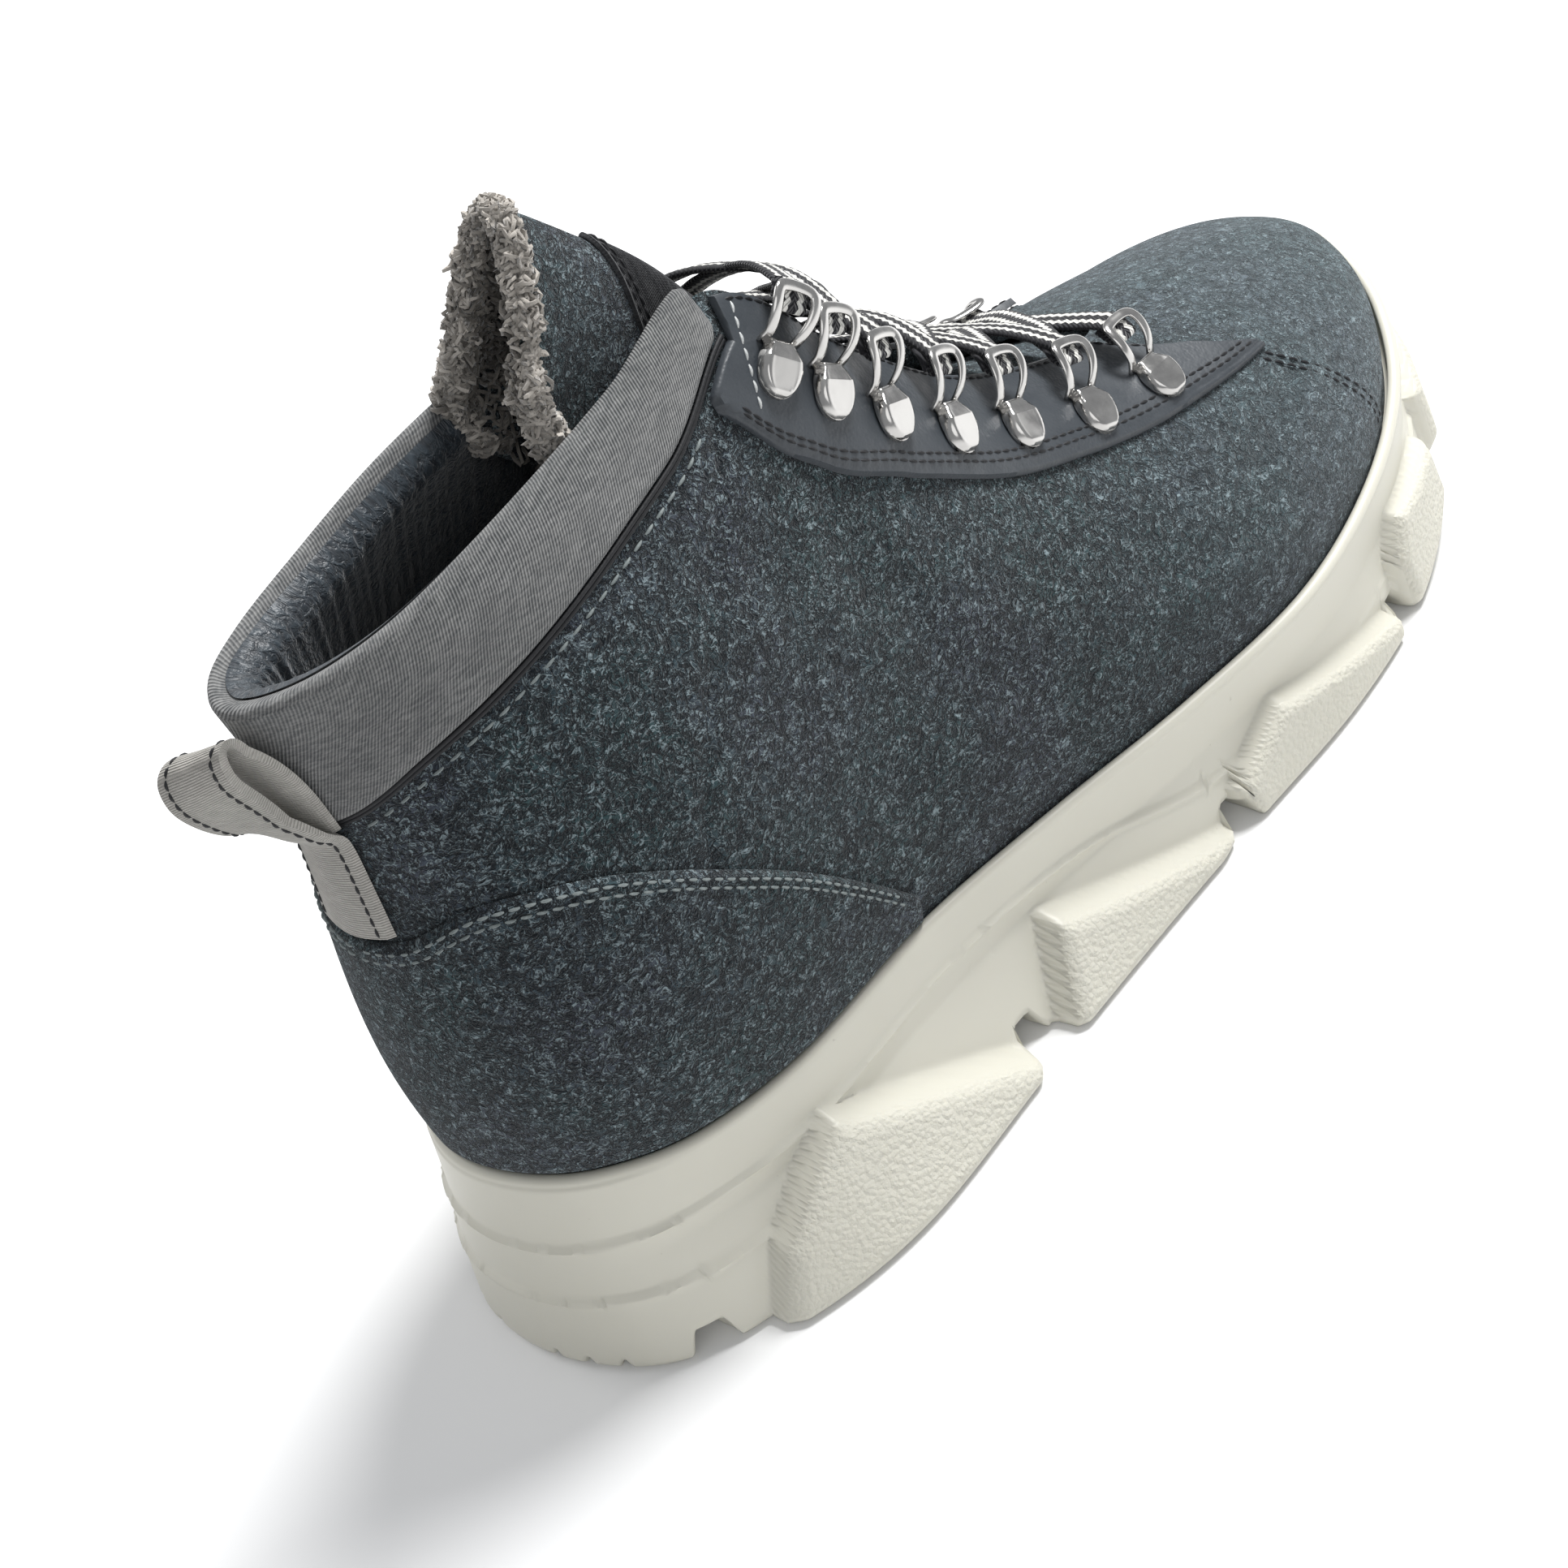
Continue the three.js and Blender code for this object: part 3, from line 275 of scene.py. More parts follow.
class Side:
    """The sole's side at places round it: the rim, the way out, the flare, the pods and the steps."""

    def __init__(self, s):
        _, x, y, height, flare, pod, up, low, up_amount, low_amount = np.moveaxis(sole_loop(s), -1, 0)
        ahead = sole_loop(np.asarray(s) + 0.05) - sole_loop(np.asarray(s) - 0.05)
        along = unit(np.stack([ahead[..., 1] * LENGTH, ahead[..., 2] * BALL_WIDTH], -1))
        self.rim = np.stack([x * LENGTH, y * BALL_WIDTH, height * HEEL_HEIGHT], -1)
        self.out = np.stack([-along[..., 1], along[..., 0], 0 * x], -1)
        self.flare, self.pod = flare * SOLE_FLARE, pod * POD_DEPTH
        self.up, self.low = up, low
        self.up_amount, self.low_amount = up_amount * WALL_STEP, low_amount * WALL_STEP

    def at(self, out, z):
        p = self.rim + self.out * np.asarray(out)[..., None]
        return np.stack([p[..., 0], p[..., 1], np.broadcast_to(z, p.shape[:-1])], -1)


def bottom_height(x):
    t = np.maximum(x / LENGTH - SPRING_START, 0) / (1 - SPRING_START)
    return TOE_SPRING * t**1.8


def upper_point(s, v):
    s, v = np.broadcast_arrays(np.asarray(s, float), np.asarray(v, float))
    row, x, y, collar, vamp, lean, rise, reach, drop = np.moveaxis(strip_loop(s), -1, 0)
    side = Side(row)
    foot = side.at(np.full_like(row, -LIP - GAP), side.rim[..., 2])
    top_height = HEEL_HEIGHT + collar * COLLAR_RISE + vamp * VAMP_RISE
    top = np.stack([x * LENGTH, y * BALL_WIDTH, top_height], -1)
    height = top[..., 2] - foot[..., 2]
    near = np.abs((s + STRIP_LAST) % (2 * STRIP_LAST) - STRIP_LAST)
    inner = ((s + STRIP_LAST) % (2 * STRIP_LAST) - STRIP_LAST) > 0
    ahead = np.where(inner, np.clip((near - 6) / 2, 0, 1) * np.minimum(1, (STRIP_LAST - near) / 2), 0)
    low = foot + side.out * (lean * BALL_WIDTH * (1 - (1 - INNER_LEAN) * ahead))[..., None]
    low[..., 2] += rise * height
    high = top + side.out * (reach * BALL_WIDTH * (1 - (1 - INNER_REACH) * ahead))[..., None]
    high[..., 2] -= (drop + INNER_DROP * ahead) * height
    u, v = (1 - v)[..., None], v[..., None]
    return u**3 * foot + 3 * u * u * v * low + 3 * u * v * v * high + v**3 * top


def upper_frame(s, v):
    s, v = np.broadcast_arrays(np.asarray(s, float), np.asarray(v, float))
    step = 0.004
    up = unit(upper_point(s, np.minimum(1, v + step)) - upper_point(s, np.maximum(0, v - step)))
    along = unit(upper_point(s + 0.05, v) - upper_point(s - 0.05, v))
    return upper_point(s, v), unit(np.cross(up, along)), up, along


def off_upper(s, v, out, up=0.0):
    v = np.asarray(v, float)
    at, normal, rising, _ = upper_frame(s, np.minimum(v, 1))
    past = up + np.maximum(0, v - 1) * COLLAR_RISE
    past, out = np.broadcast_to(past, at.shape[:-1]), np.broadcast_to(out, at.shape[:-1])
    return at + normal * out[..., None] + rising * past[..., None]


def tongue_point(t, a):
    t, a = np.broadcast_arrays(np.asarray(t, float), np.asarray(a, float))
    x, height, outer, inner, back, down = np.moveaxis(along_rows(TONGUE_ROWS, t), -1, 0)
    turn, sideways = 1 - np.cos(a * np.pi / 2), np.sin(a * np.pi / 2)
    swell = TONGUE_SWELL * np.exp(-(((t - 8.0) / 1.2) ** 2)) * np.clip(a, 0, 1) ** 2
    return np.stack([
        (x - back * turn) * LENGTH,
        ((inner + outer) / 2 + (inner - outer) / 2 * sideways) * BALL_WIDTH + swell,
        HEEL_HEIGHT + (height - down * turn) * COLLAR_RISE,
    ], -1)


def tongue_normal(t, a):
    t, a = np.broadcast_arrays(np.asarray(t, float), np.asarray(a, float))
    step = 0.02
    along = tongue_point(t + step, a) - tongue_point(t - step, a)
    across = tongue_point(t, a + step) - tongue_point(t, a - step)
    return unit(np.cross(across, along))


def off_tongue(t, a, out):
    at = tongue_point(t, a)
    return at + tongue_normal(t, a) * np.broadcast_to(out, at.shape[:-1])[..., None]


# Meshes
def grid_faces(rows, columns, wrap_rows=False, wrap_columns=False, start=0):
    i = np.arange(rows if wrap_rows else rows - 1)
    j = np.arange(columns if wrap_columns else columns - 1)
    i, j = np.meshgrid(i, j, indexing="ij")
    a, b = i * columns, (i + 1) % rows * columns
    k = (j + 1) % columns
    return (np.stack([a + j, b + j, b + k, a + k], -1) + start).reshape(-1, 4)


def facing_out(points, faces):
    volume = 0.0
    for f in faces:
        p = points[f]
        for k in range(1, f.shape[1] - 1):
            volume += np.einsum("ij,ij->", p[:, 0], np.cross(p[:, k], p[:, k + 1]))
    return [f[:, ::-1] for f in faces] if volume < 0 else faces


def add_piece(name, points, faces, look, replaces=(), place=None, sharp=50, closed=True):
    """points in the shoe's millimetres; faces is a list of arrays of equal-sided faces."""
    if closed:
        faces = facing_out(points, faces)
    mesh = bpy.data.meshes.new(name)
    mesh.from_pydata(((points - [HEEL_REST, 0, 0]) * MM).tolist(), [], [f for a in faces for f in a.tolist()])
    mesh.polygons.foreach_set("use_smooth", np.ones(len(mesh.polygons), bool))
    mesh.set_sharp_from_angle(angle=math.radians(sharp))
    if place is not None:
        attribute = mesh.attributes.new("place", "FLOAT_VECTOR", "POINT")
        attribute.data.foreach_set("vector", np.asarray(place, np.float32).ravel())
    mesh.materials.append(look)
    piece = bpy.data.objects.new(name, mesh)
    bpy.context.scene.collection.objects.link(piece)
    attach(piece, "root")
    if replaces:
        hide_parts(*replaces)
    return piece


def slab(outer, inner):
    """A closed sheet between two grids of points of the same shape."""
    rows, columns = outer.shape[:2]
    count = rows * columns
    points = np.concatenate([outer.reshape(-1, 3), inner.reshape(-1, 3)])
    ids = np.arange(count).reshape(rows, columns)
    rim = np.concatenate([ids[0, :-1], ids[:-1, -1], ids[-1, :0:-1], ids[:0:-1, 0]])
    ahead = np.roll(rim, -1)
    edge = np.stack([rim, rim + count, ahead + count, ahead], -1)
    return points, [grid_faces(rows, columns), grid_faces(rows, columns)[:, ::-1] + count, edge[:, ::-1]]


def rounded(distance, radius):
    """How full a sheet is at a distance from its rounded edge, from 0 to 1."""
    return np.sqrt(np.clip(1 - (1 - np.clip(distance / radius, 0, 1)) ** 2, 0, 1))


def ring_ends(points, count, sections):
    """Faces over the two ends of a skin of closed sections."""
    first = np.arange(count)[None]
    return [first[:, ::-1], first + (sections - 1) * count]


def skin(sections):
    rows, columns = sections.shape[:2]
    points = sections.reshape(-1, 3)
    return points, [grid_faces(rows, columns, wrap_columns=True), *ring_ends(points, columns, rows)]


def smooth_line(points, per_gap):
    points = np.asarray(points, float)
    padded = np.vstack([2 * points[0] - points[1], points, 2 * points[-1] - points[-2]])
    t = np.linspace(0, len(points) - 1, (len(points) - 1) * per_gap + 1)
    k = np.minimum(t.astype(int), len(points) - 2)
    return blend(padded[k], padded[k + 1], padded[k + 2], padded[k + 3], (t - k)[:, None])


def lengths(points):
    return np.concatenate([[0], np.cumsum(np.linalg.norm(np.diff(points, axis=0), axis=1))])


def tube(path, radius, sides, closed=False, flat=1.0, towards=None):
    """Sections of a round or flattened bar along a path; towards is the way its wide side faces, at each point."""
    along = unit(np.roll(path, -1, 0) - np.roll(path, 1, 0)) if closed else unit(np.gradient(path, axis=0))
    if towards is None:
        towards = np.broadcast_to([0.31, 0.17, 0.93], path.shape)
    thick = unit(towards - along * np.einsum("ij,ij->i", towards, along)[:, None])
    wide = np.cross(along, thick)
    turn = 2 * np.pi * np.arange(sides) / sides
    radius = np.broadcast_to(radius, len(path))[:, None, None]
    return path[:, None] + radius * (
        wide[:, None] * np.cos(turn)[:, None] + thick[:, None] * (np.sin(turn) * flat)[:, None]
    )


# Looks: a small language over the shader's nodes
class Look:
    def __init__(self, name, **sockets):
        self.material = bpy.data.materials.new(name)
        self.material.use_nodes = True
        self.nodes, self.links = self.material.node_tree.nodes, self.material.node_tree.links
        self.shader = self.nodes["Principled BSDF"]
        for socket, value in sockets.items():
            self.shader.inputs[socket.replace("_", " ")].default_value = value
        self.object = self.node("ShaderNodeTexCoord").outputs["Object"]

    def node(self, kind, inputs=(), **settings):
        made = self.nodes.new(kind)
        for key, value in settings.items():
            setattr(made, key, value)
        for key, value in dict(inputs).items():
            if isinstance(value, bpy.types.NodeSocket):
                self.links.new(value, made.inputs[key])
            else:
                made.inputs[key].default_value = value
        return made

    def place(self):
        return self.node("ShaderNodeAttribute", attribute_name="place").outputs["Vector"]

    def scaled(self, vector, x, y, z, turn=0.0):
        inputs = {"Vector": vector, "Scale": (x, y, z), "Rotation": (0, turn, turn)}
        return self.node("ShaderNodeMapping", inputs).outputs["Vector"]

    def noise(self, vector, scale, detail=2.0, rough=0.5, bend=0.0):
        inputs = {"Vector": vector, "Scale": scale, "Detail": detail, "Roughness": rough, "Distortion": bend}
        return self.node("ShaderNodeTexNoise", inputs).outputs["Fac"]

    def cells(self, vector, scale, feature="F1"):
        return self.node("ShaderNodeTexVoronoi", {"Vector": vector, "Scale": scale}, feature=feature).outputs["Distance"]

    def math(self, operation, a, b=0.0):
        return self.node("ShaderNodeMath", {0: a, 1: b}, operation=operation).outputs[0]

    def band(self, value, low, high, to_low=0.0, to_high=1.0):
        inputs = {"Value": value, "From Min": low, "From Max": high, "To Min": to_low, "To Max": to_high}
        return self.node("ShaderNodeMapRange", inputs, interpolation_type="SMOOTHSTEP").outputs["Result"]

    def mix(self, share, a, b):
        def full(c):
            return c if isinstance(c, bpy.types.NodeSocket) else (*c, 1.0)

        made = self.node("ShaderNodeMix", {"Factor": share}, data_type="RGBA")
        for index, value in ((6, full(a)), (7, full(b))):
            if isinstance(value, bpy.types.NodeSocket):
                self.links.new(value, made.inputs[index])
            else:
                made.inputs[index].default_value = value
        return made.outputs[2]

    def parts(self, vector):
        return self.node("ShaderNodeSeparateXYZ", {"Vector": vector}).outputs

    def colour(self, value):
        self.links.new(value, self.shader.inputs["Base Color"])

    def rough(self, value):
        self.links.new(value, self.shader.inputs["Roughness"])

    def bump(self, *layers):
        """Layers of (height, depth in millimetres), from the coarsest."""
        normal = None
        for height, depth in layers:
            inputs = {"Height": height, "Distance": depth * MM, "Strength": 1.0}
            if normal is not None:
                inputs["Normal"] = normal
            normal = self.node("ShaderNodeBump", inputs).outputs["Normal"]
        self.links.new(normal, self.shader.inputs["Normal"])


def felt_look(name, dark, light, tints):
    """Melange felt: curled fibres, light and dark, which are the lines where a noise passes its middle."""
    look = Look(name, Roughness=0.95, Sheen_Weight=0.2, Sheen_Roughness=0.5, Specular_IOR_Level=0.12)

    def strands(scale, bend, turn, wide):
        field = look.noise(look.scaled(look.object, 1, 1, 1, turn), scale, 2, 0.55, bend)
        return look.band(look.math("ABSOLUTE", look.math("SUBTRACT", field, 0.5)), wide, wide / 6)

    light_lines = look.math("MAXIMUM", strands(330.0, 1.3, 0.4, 0.034), strands(500.0, 0.9, 1.3, 0.032))
    dark_lines = look.math("MAXIMUM", strands(310.0, 1.3, 2.2, 0.046), strands(460.0, 1.0, 3.1, 0.044))
    mottle = look.noise(look.object, 480.0, 5, 0.8, 0.8)
    cloud = look.noise(look.object, 26.0, 3, 0.6)
    base = look.mix(look.band(cloud, 0.38, 0.62), tints[0], tints[1])
    base = look.mix(look.band(mottle, 0.36, 0.64), dark, base)
    base = look.mix(look.math("MULTIPLY", light_lines, look.band(mottle, 0.36, 0.6, 0.35, 0.9)), base, light)
    base = look.mix(look.math("MULTIPLY", dark_lines, 0.9), base, dark)
    # painted light: the felt is mixed towards its light colour from x 0.08 to 0.19 m in the piece, towards the toe,
    # broken up by the mottle; it stands in for the light on the toe's top
    toe_painted_light = look.math("MULTIPLY", look.band(look.parts(look.object)["X"], 0.08, 0.19), look.band(mottle, 0.3, 0.6, 0.1, 0.3))
    look.colour(look.mix(toe_painted_light, base, light))
    look.bump((mottle, 0.7), (light_lines, 0.25), (look.math("SUBTRACT", 1.0, dark_lines), 0.25))
    return look.material


def rubber_look():
    look = Look("moulded_sole", Roughness=0.5, Specular_IOR_Level=0.4, Subsurface_Weight=0.06)
    look.shader.inputs["Subsurface Radius"].default_value = (0.002, 0.0016, 0.001)
    grain_at = look.parts(look.place())["Z"]
    cloud = look.noise(look.object, 24.0, 3, 0.6)
    specks = look.band(look.noise(look.object, 420.0, 2, 0.5), 0.76, 0.8)
    base = look.mix(cloud, (0.56, 0.545, 0.47), (0.62, 0.605, 0.53))
    base = look.mix(look.math("MULTIPLY", specks, 0.35), base, (0.30, 0.27, 0.22))
    look.colour(base)
    grain = look.math("SUBTRACT", 1.0, look.cells(look.object, 900.0))
    fine = look.noise(look.object, 1500.0, 3, 0.6)
    grain = look.math("MULTIPLY", look.math("ADD", grain, fine), grain_at)
    look.rough(look.band(grain_at, 0.0, 1.0, 0.42, 0.62))
    look.bump((look.noise(look.object, 90.0, 2, 0.5), 0.12), (grain, 0.28))
    return look.material


def leather_look():
    look = Look("leather", Specular_IOR_Level=0.5)
    grain = look.cells(look.object, 1700.0, "SMOOTH_F1")
    wrinkle = look.noise(look.object, 240.0, 4, 0.6)
    cloud = look.noise(look.object, 60.0, 2, 0.5)
    look.colour(look.mix(cloud, (0.030, 0.036, 0.043), (0.047, 0.054, 0.062)))
    look.rough(look.band(wrinkle, 0.3, 0.7, 0.40, 0.56))
    look.bump((wrinkle, 0.12), (grain, 0.05))
    return look.material


def woven_look(name, dark, light, pitch, slant, cross_pitch, fuzz=0.2):
    """A woven face: ribs across the piece at a slant, crossed by finer threads. place holds lengths in millimetres."""
    look = Look(name, Roughness=0.85, Sheen_Weight=0.2, Sheen_Roughness=0.5, Specular_IOR_Level=0.2)
    along, across, _ = look.parts(look.place())
    run = look.math("ADD", along, look.math("MULTIPLY", across, slant))
    ribs = look.math("SINE", look.math("MULTIPLY", run, 2 * math.pi / pitch))
    threads = look.math("SINE", look.math("MULTIPLY", across, 2 * math.pi / cross_pitch))
    weave = look.math("ADD", look.math("MULTIPLY", ribs, 0.82), look.math("MULTIPLY", threads, 0.18))
    cloud = look.noise(look.object, 130.0, 4, 0.7)
    slub = look.noise(look.scaled(look.object, 1, 1, 6), 420.0, 3, 0.7)
    share = look.math("ADD", look.band(weave, -1, 1, 0.1, 0.75), look.band(slub, 0.35, 0.65, -0.2, 0.25))
    look.colour(look.mix(share, dark, look.mix(look.band(cloud, 0.3, 0.7), light, tuple(0.8 * c for c in light))))
    look.bump((cloud, fuzz), (weave, 0.12))
    return look.material


def lining_look():
    look = Look("collar_lining", Roughness=0.42, Sheen_Weight=0.3, Specular_IOR_Level=0.45)
    along, across, _ = look.parts(look.place())
    gathers = look.noise(look.scaled(look.place(), 1.0, 0.16, 1.0), 0.75, 3, 0.6, 0.6)
    weave = look.noise(look.object, 2200.0, 2, 0.5)
    # painted shade: the colour follows the gathers' folds, darker in their troughs and lighter on their crests, as the
    # bump does
    look.colour(look.mix(look.band(gathers, 0.3, 0.7), (0.006, 0.010, 0.015), (0.024, 0.036, 0.047)))
    look.bump((gathers, 0.9), (weave, 0.03))
    return look.material


def pile_look(name, dark, light):
    look = Look(name, Roughness=0.9, Sheen_Weight=0.5, Sheen_Roughness=0.4, Specular_IOR_Level=0.2)
    # the place attribute's x holds each loop's random tone plus painted light on its top
    tip_light_and_tone = look.parts(look.place())["X"]
    fibres = look.noise(look.object, 1600.0, 3, 0.7)
    cloud = look.noise(look.object, 160.0, 2, 0.5)
    share = look.math("ADD", tip_light_and_tone, look.band(cloud, 0.3, 0.7, -0.2, 0.2))
    look.colour(look.mix(share, dark, light))
    look.bump((fibres, 0.2))
    return look.material


def lace_look():
    look = Look("flat_lace", Roughness=0.7, Sheen_Weight=0.2, Specular_IOR_Level=0.3)
    along, across, _ = look.parts(look.place())
    tooth = look.math("PINGPONG", along, 0.75)
    side = look.math("ABSOLUTE", across)
    inner = look.math("SUBTRACT", side, look.math("MULTIPLY", tooth, 0.8))
    white = look.math("MULTIPLY", look.band(inner, 0.5, 0.6), look.band(inner, 1.7, 1.6))
    braid = look.math("SINE", look.math("MULTIPLY", look.math("ADD", along, side), 2 * math.pi / 0.9))
    look.colour(look.mix(white, (0.006, 0.006, 0.009), (0.70, 0.69, 0.65)))
    look.bump((braid, 0.14), (look.noise(look.object, 2400.0, 2, 0.6), 0.06))
    return look.material


def nickel_look():
    look = Look("nickel", Metallic=1.0)
    # the noise roughens the metal in patches (real smears) and also swings its base colour between darker and lighter
    # nickel: painted reflection contrast
    smear_and_painted_reflection = look.noise(look.object, 260.0, 3, 0.6)
    look.colour(look.mix(smear_and_painted_reflection, (0.40, 0.39, 0.38), (0.62, 0.61, 0.59)))
    look.rough(look.band(smear_and_painted_reflection, 0.3, 0.7, 0.12, 0.26))
    look.bump((look.noise(look.object, 120.0, 2, 0.5), 0.06))
    return look.material


def thread_look(name, dark, light):
    look = Look(name, Roughness=0.6, Specular_IOR_Level=0.35)
    twist = look.noise(look.object, 1900.0, 2, 0.5)
    look.colour(look.mix(twist, dark, light))
    look.bump((twist, 0.08))
    return look.material


FELT = felt_look("felt", (0.002, 0.005, 0.008), (0.25, 0.315, 0.34), ((0.032, 0.066, 0.072), (0.054, 0.066, 0.088)))
SOLE = rubber_look()
LEATHER = leather_look()
TWILL = woven_look("collar_twill", (0.070, 0.074, 0.077), (0.27, 0.27, 0.265), 0.62, 0.45, 0.9)
WEBBING = woven_look("webbing", (0.30, 0.29, 0.265), (0.50, 0.48, 0.445), 0.46, 0.0, 0.6, 0.25)
RIBBON = woven_look("ribbon", (0.020, 0.021, 0.023), (0.085, 0.087, 0.092), 0.62, 0.0, 0.5, 0.1)
LINING = lining_look()
# one pile in three copies: the second and third are darker copies of it, painted shade for the tongue's inner face and
# for the pile deep inside the shoe (wall, insole, low tongue)
PILE = pile_look("pile", (0.075, 0.068, 0.060), (0.50, 0.465, 0.42))
SHADED_PILE = pile_look("shaded_pile", (0.020, 0.018, 0.016), (0.13, 0.112, 0.098))
HALF_SHADED_PILE = pile_look("half_shaded_pile", (0.020, 0.018, 0.016), (0.20, 0.185, 0.165))
LACE = lace_look()
NICKEL = nickel_look()
LIGHT_THREAD = thread_look("light_thread", (0.34, 0.36, 0.36), (0.62, 0.63, 0.62))
GREY_THREAD = thread_look("grey_thread", (0.10, 0.12, 0.12), (0.24, 0.27, 0.27))
DARK_THREAD = thread_look("dark_thread", (0.006, 0.006, 0.007), (0.022, 0.023, 0.026))


# Shared ways of making a piece
def weld(points, faces, place):
    _, first, back = np.unique(np.round(points, 3), axis=0, return_index=True, return_inverse=True)
    welded = []
    for f in faces:
        f = back.ravel()[f]
        thin = (f == np.roll(f, 1, axis=1)).any(1)
        corners = [list(dict.fromkeys(row)) for row in f[thin].tolist()]
        welded += [f[~thin], np.array([c for c in corners if len(c) == 3], int).reshape(-1, 3)]
    return points[first], welded, place[first]


def edge_smooth(pairs, t):
    x, y = np.array(pairs, float).T
    slope = np.gradient(y, x)
    t = np.clip(t, x[0], x[-1])
    k = np.clip(np.searchsorted(x, t, side="right") - 1, 0, len(x) - 2)
    h = x[k + 1] - x[k]
    f = (t - x[k]) / h
    ends = (1 + 2 * f) * (1 - f) ** 2 * y[k] + f * f * (3 - 2 * f) * y[k + 1]
    return ends + h * f * (1 - f) * ((1 - f) * slope[k] - f * slope[k + 1])


def ramp(value, low, high):
    f = np.clip((value - low) / (high - low), 0, 1)
    return f * f * (3 - 2 * f)


def up_by(s, v, distance):
    """The height up the strip that lies a distance in millimetres above v."""
    return v + distance * 0.02 / np.linalg.norm(upper_point(s, v - 0.01) - upper_point(s, v + 0.01), axis=-1)


def round_by(s, v, distance):
    return s + distance * 0.1 / np.linalg.norm(upper_point(s + 0.05, v) - upper_point(s - 0.05, v), axis=-1)


def bars(paths, radius, sides, flat=1.0, up=(0.31, 0.17, 0.93)):
    """Many short bars at once: paths is bars x points x 3."""
    count, length = paths.shape[:2]
    along = unit(np.gradient(paths, axis=1))
    up = np.broadcast_to(up, paths.shape)
    thick = unit(up - along * (up * along).sum(-1, keepdims=True))
    wide = np.cross(along, thick)
    turn = 2 * np.pi * (np.arange(sides) + 0.5) / sides
    radius = np.broadcast_to(radius, (count, length))[..., None, None]
    around = wide[:, :, None] * np.cos(turn)[:, None] + thick[:, :, None] * (np.sin(turn) * flat)[:, None]
    points = (paths[:, :, None] + radius * around).reshape(-1, 3)
    start = (np.arange(count) * length * sides)[:, None, None]
    walls = (grid_faces(length, sides, wrap_columns=True) + start).reshape(-1, 4)
    first = np.arange(sides) + start[:, 0]
    return points, [walls, first[:, ::-1], first + (length - 1) * sides]


def joined(parts):
    """Several (points, faces) as one."""
    points, faces, start = [], [], 0
    for p, f in parts:
        f = facing_out(p, f)
        points.append(p)
        faces += [a + start for a in f]
        start += len(p)
    return np.concatenate(points), faces


def overlay(name, s, low, high, levels, near, thick, edge, look, node, shape=None):
    """A sheet of even thickness over the upper, or under it, with rounded edges."""
    share = 0.5 - 0.5 * np.cos(np.pi * np.linspace(0, 1, levels))
    share = 0.35 * share + 0.65 * np.linspace(0, 1, levels)
    strip = np.broadcast_to(s[:, None], (len(s), levels))
    v = low[:, None] + (high - low)[:, None] * share
    tall = np.linalg.norm(np.diff(upper_point(strip, v), axis=1), axis=-1).cumsum(1)
    tall = np.concatenate([0 * tall[:, :1], tall], 1)
    run = np.broadcast_to(lengths(upper_point(s, (low + high) / 2))[:, None], v.shape)
    from_edge = np.minimum(np.minimum(tall, tall[:, -1:] - tall), np.minimum(run, run[-1] - run))
    full = 0.12 + 0.88 * rounded(from_edge, edge)
    if shape is not None:
        full = full + shape(strip, v, run, tall) / thick
    outer, inner = off_upper(strip, v, near + thick * full), off_upper(strip, v, near)
    points, faces = slab(outer, inner)
    place = np.stack([run, tall, from_edge], -1).reshape(-1, 3)
    return add_piece(name, points, faces, look, node, np.concatenate([place, place]))


# Soft creases of the upper, from strip and height to strip and height: half width and depth in millimetres
CREASES = [
    [(10.2, 0.46), (11.9, 0.52), 3.2, 0.7],
    [(9.4, 0.33), (10.9, 0.30), 4.0, 0.6],
    [(-10.4, 0.42), (-11.9, 0.50), 3.4, 0.6],
    [(-9.0, 0.38), (-10.4, 0.30), 4.0, 0.7],
    [(-6.0, 0.36), (-7.4, 0.30), 4.5, 0.6],
    [(-5.9, 0.60), (-6.6, 0.40), 3.6, 0.6],
    [(6.0, 0.60), (6.8, 0.40), 3.6, 0.5],
    [(-4.7, 0.74), (-5.5, 0.62), 3.4, 0.6],
    [(12.0, 0.74), (12.8, 0.78), 3.5, 0.5],
    [(-12.1, 0.78), (-12.8, 0.72), 3.5, 0.6],
]
STRIP_MM, HEIGHT_MM = 14.0, 84.0  # a strip's width and height, near enough to lay a crease


def creased(s, v):
    depth = np.zeros(np.broadcast(s, v).shape)
    for (s0, v0), (s1, v1), width, deep in CREASES:
        a = np.array([s0 * STRIP_MM, v0 * HEIGHT_MM])
        ab = np.array([s1 * STRIP_MM, v1 * HEIGHT_MM]) - a
        px, py = s * STRIP_MM - a[0], v * HEIGHT_MM - a[1]
        along = (px * ab[0] + py * ab[1]) / (ab @ ab)
        away = (px * -ab[1] + py * ab[0]) / np.linalg.norm(ab)
        ends = ramp(along, -0.25, 0.25) * ramp(along, 1.25, 0.75)
        trough = np.exp(-((away / width) ** 2)) - 0.6 * np.exp(-(((away - 2 * width) / width) ** 2))
        depth += deep * trough * ends
    return depth


# Sole
SOLE_AROUND = 900
SIDE_LEVELS = 50
TREAD_ACROSS = 80
CUTS = [
    [0.3, 0, 0.215, 0.19], [0.535, 0, 0.355, 0.17], [0.535, 0.27, 0.355, 0.17],
    [0.585, 0, 0.755, 0.19], [0.585, 0.28, 0.755, 0.19], [0.8, 0.19, 0.895, 0],
]
CUT_WIDTH, CUT_DEPTH = 4.5, 2.6
POD_BEVEL = 2.6
RIB_PITCH, RIB_DEPTH = 4.6, 1.0
TOE_RIBS = 0.935
CHEVRON_PITCH = 5.2
HEEL_SLITS = (0.07, 0.135, 0.2)  # distance from the middle, of BALL_WIDTH
SLIT_WIDTH, SLIT_DEPTH, SLIT_END = 2.4, 1.5, 9.0


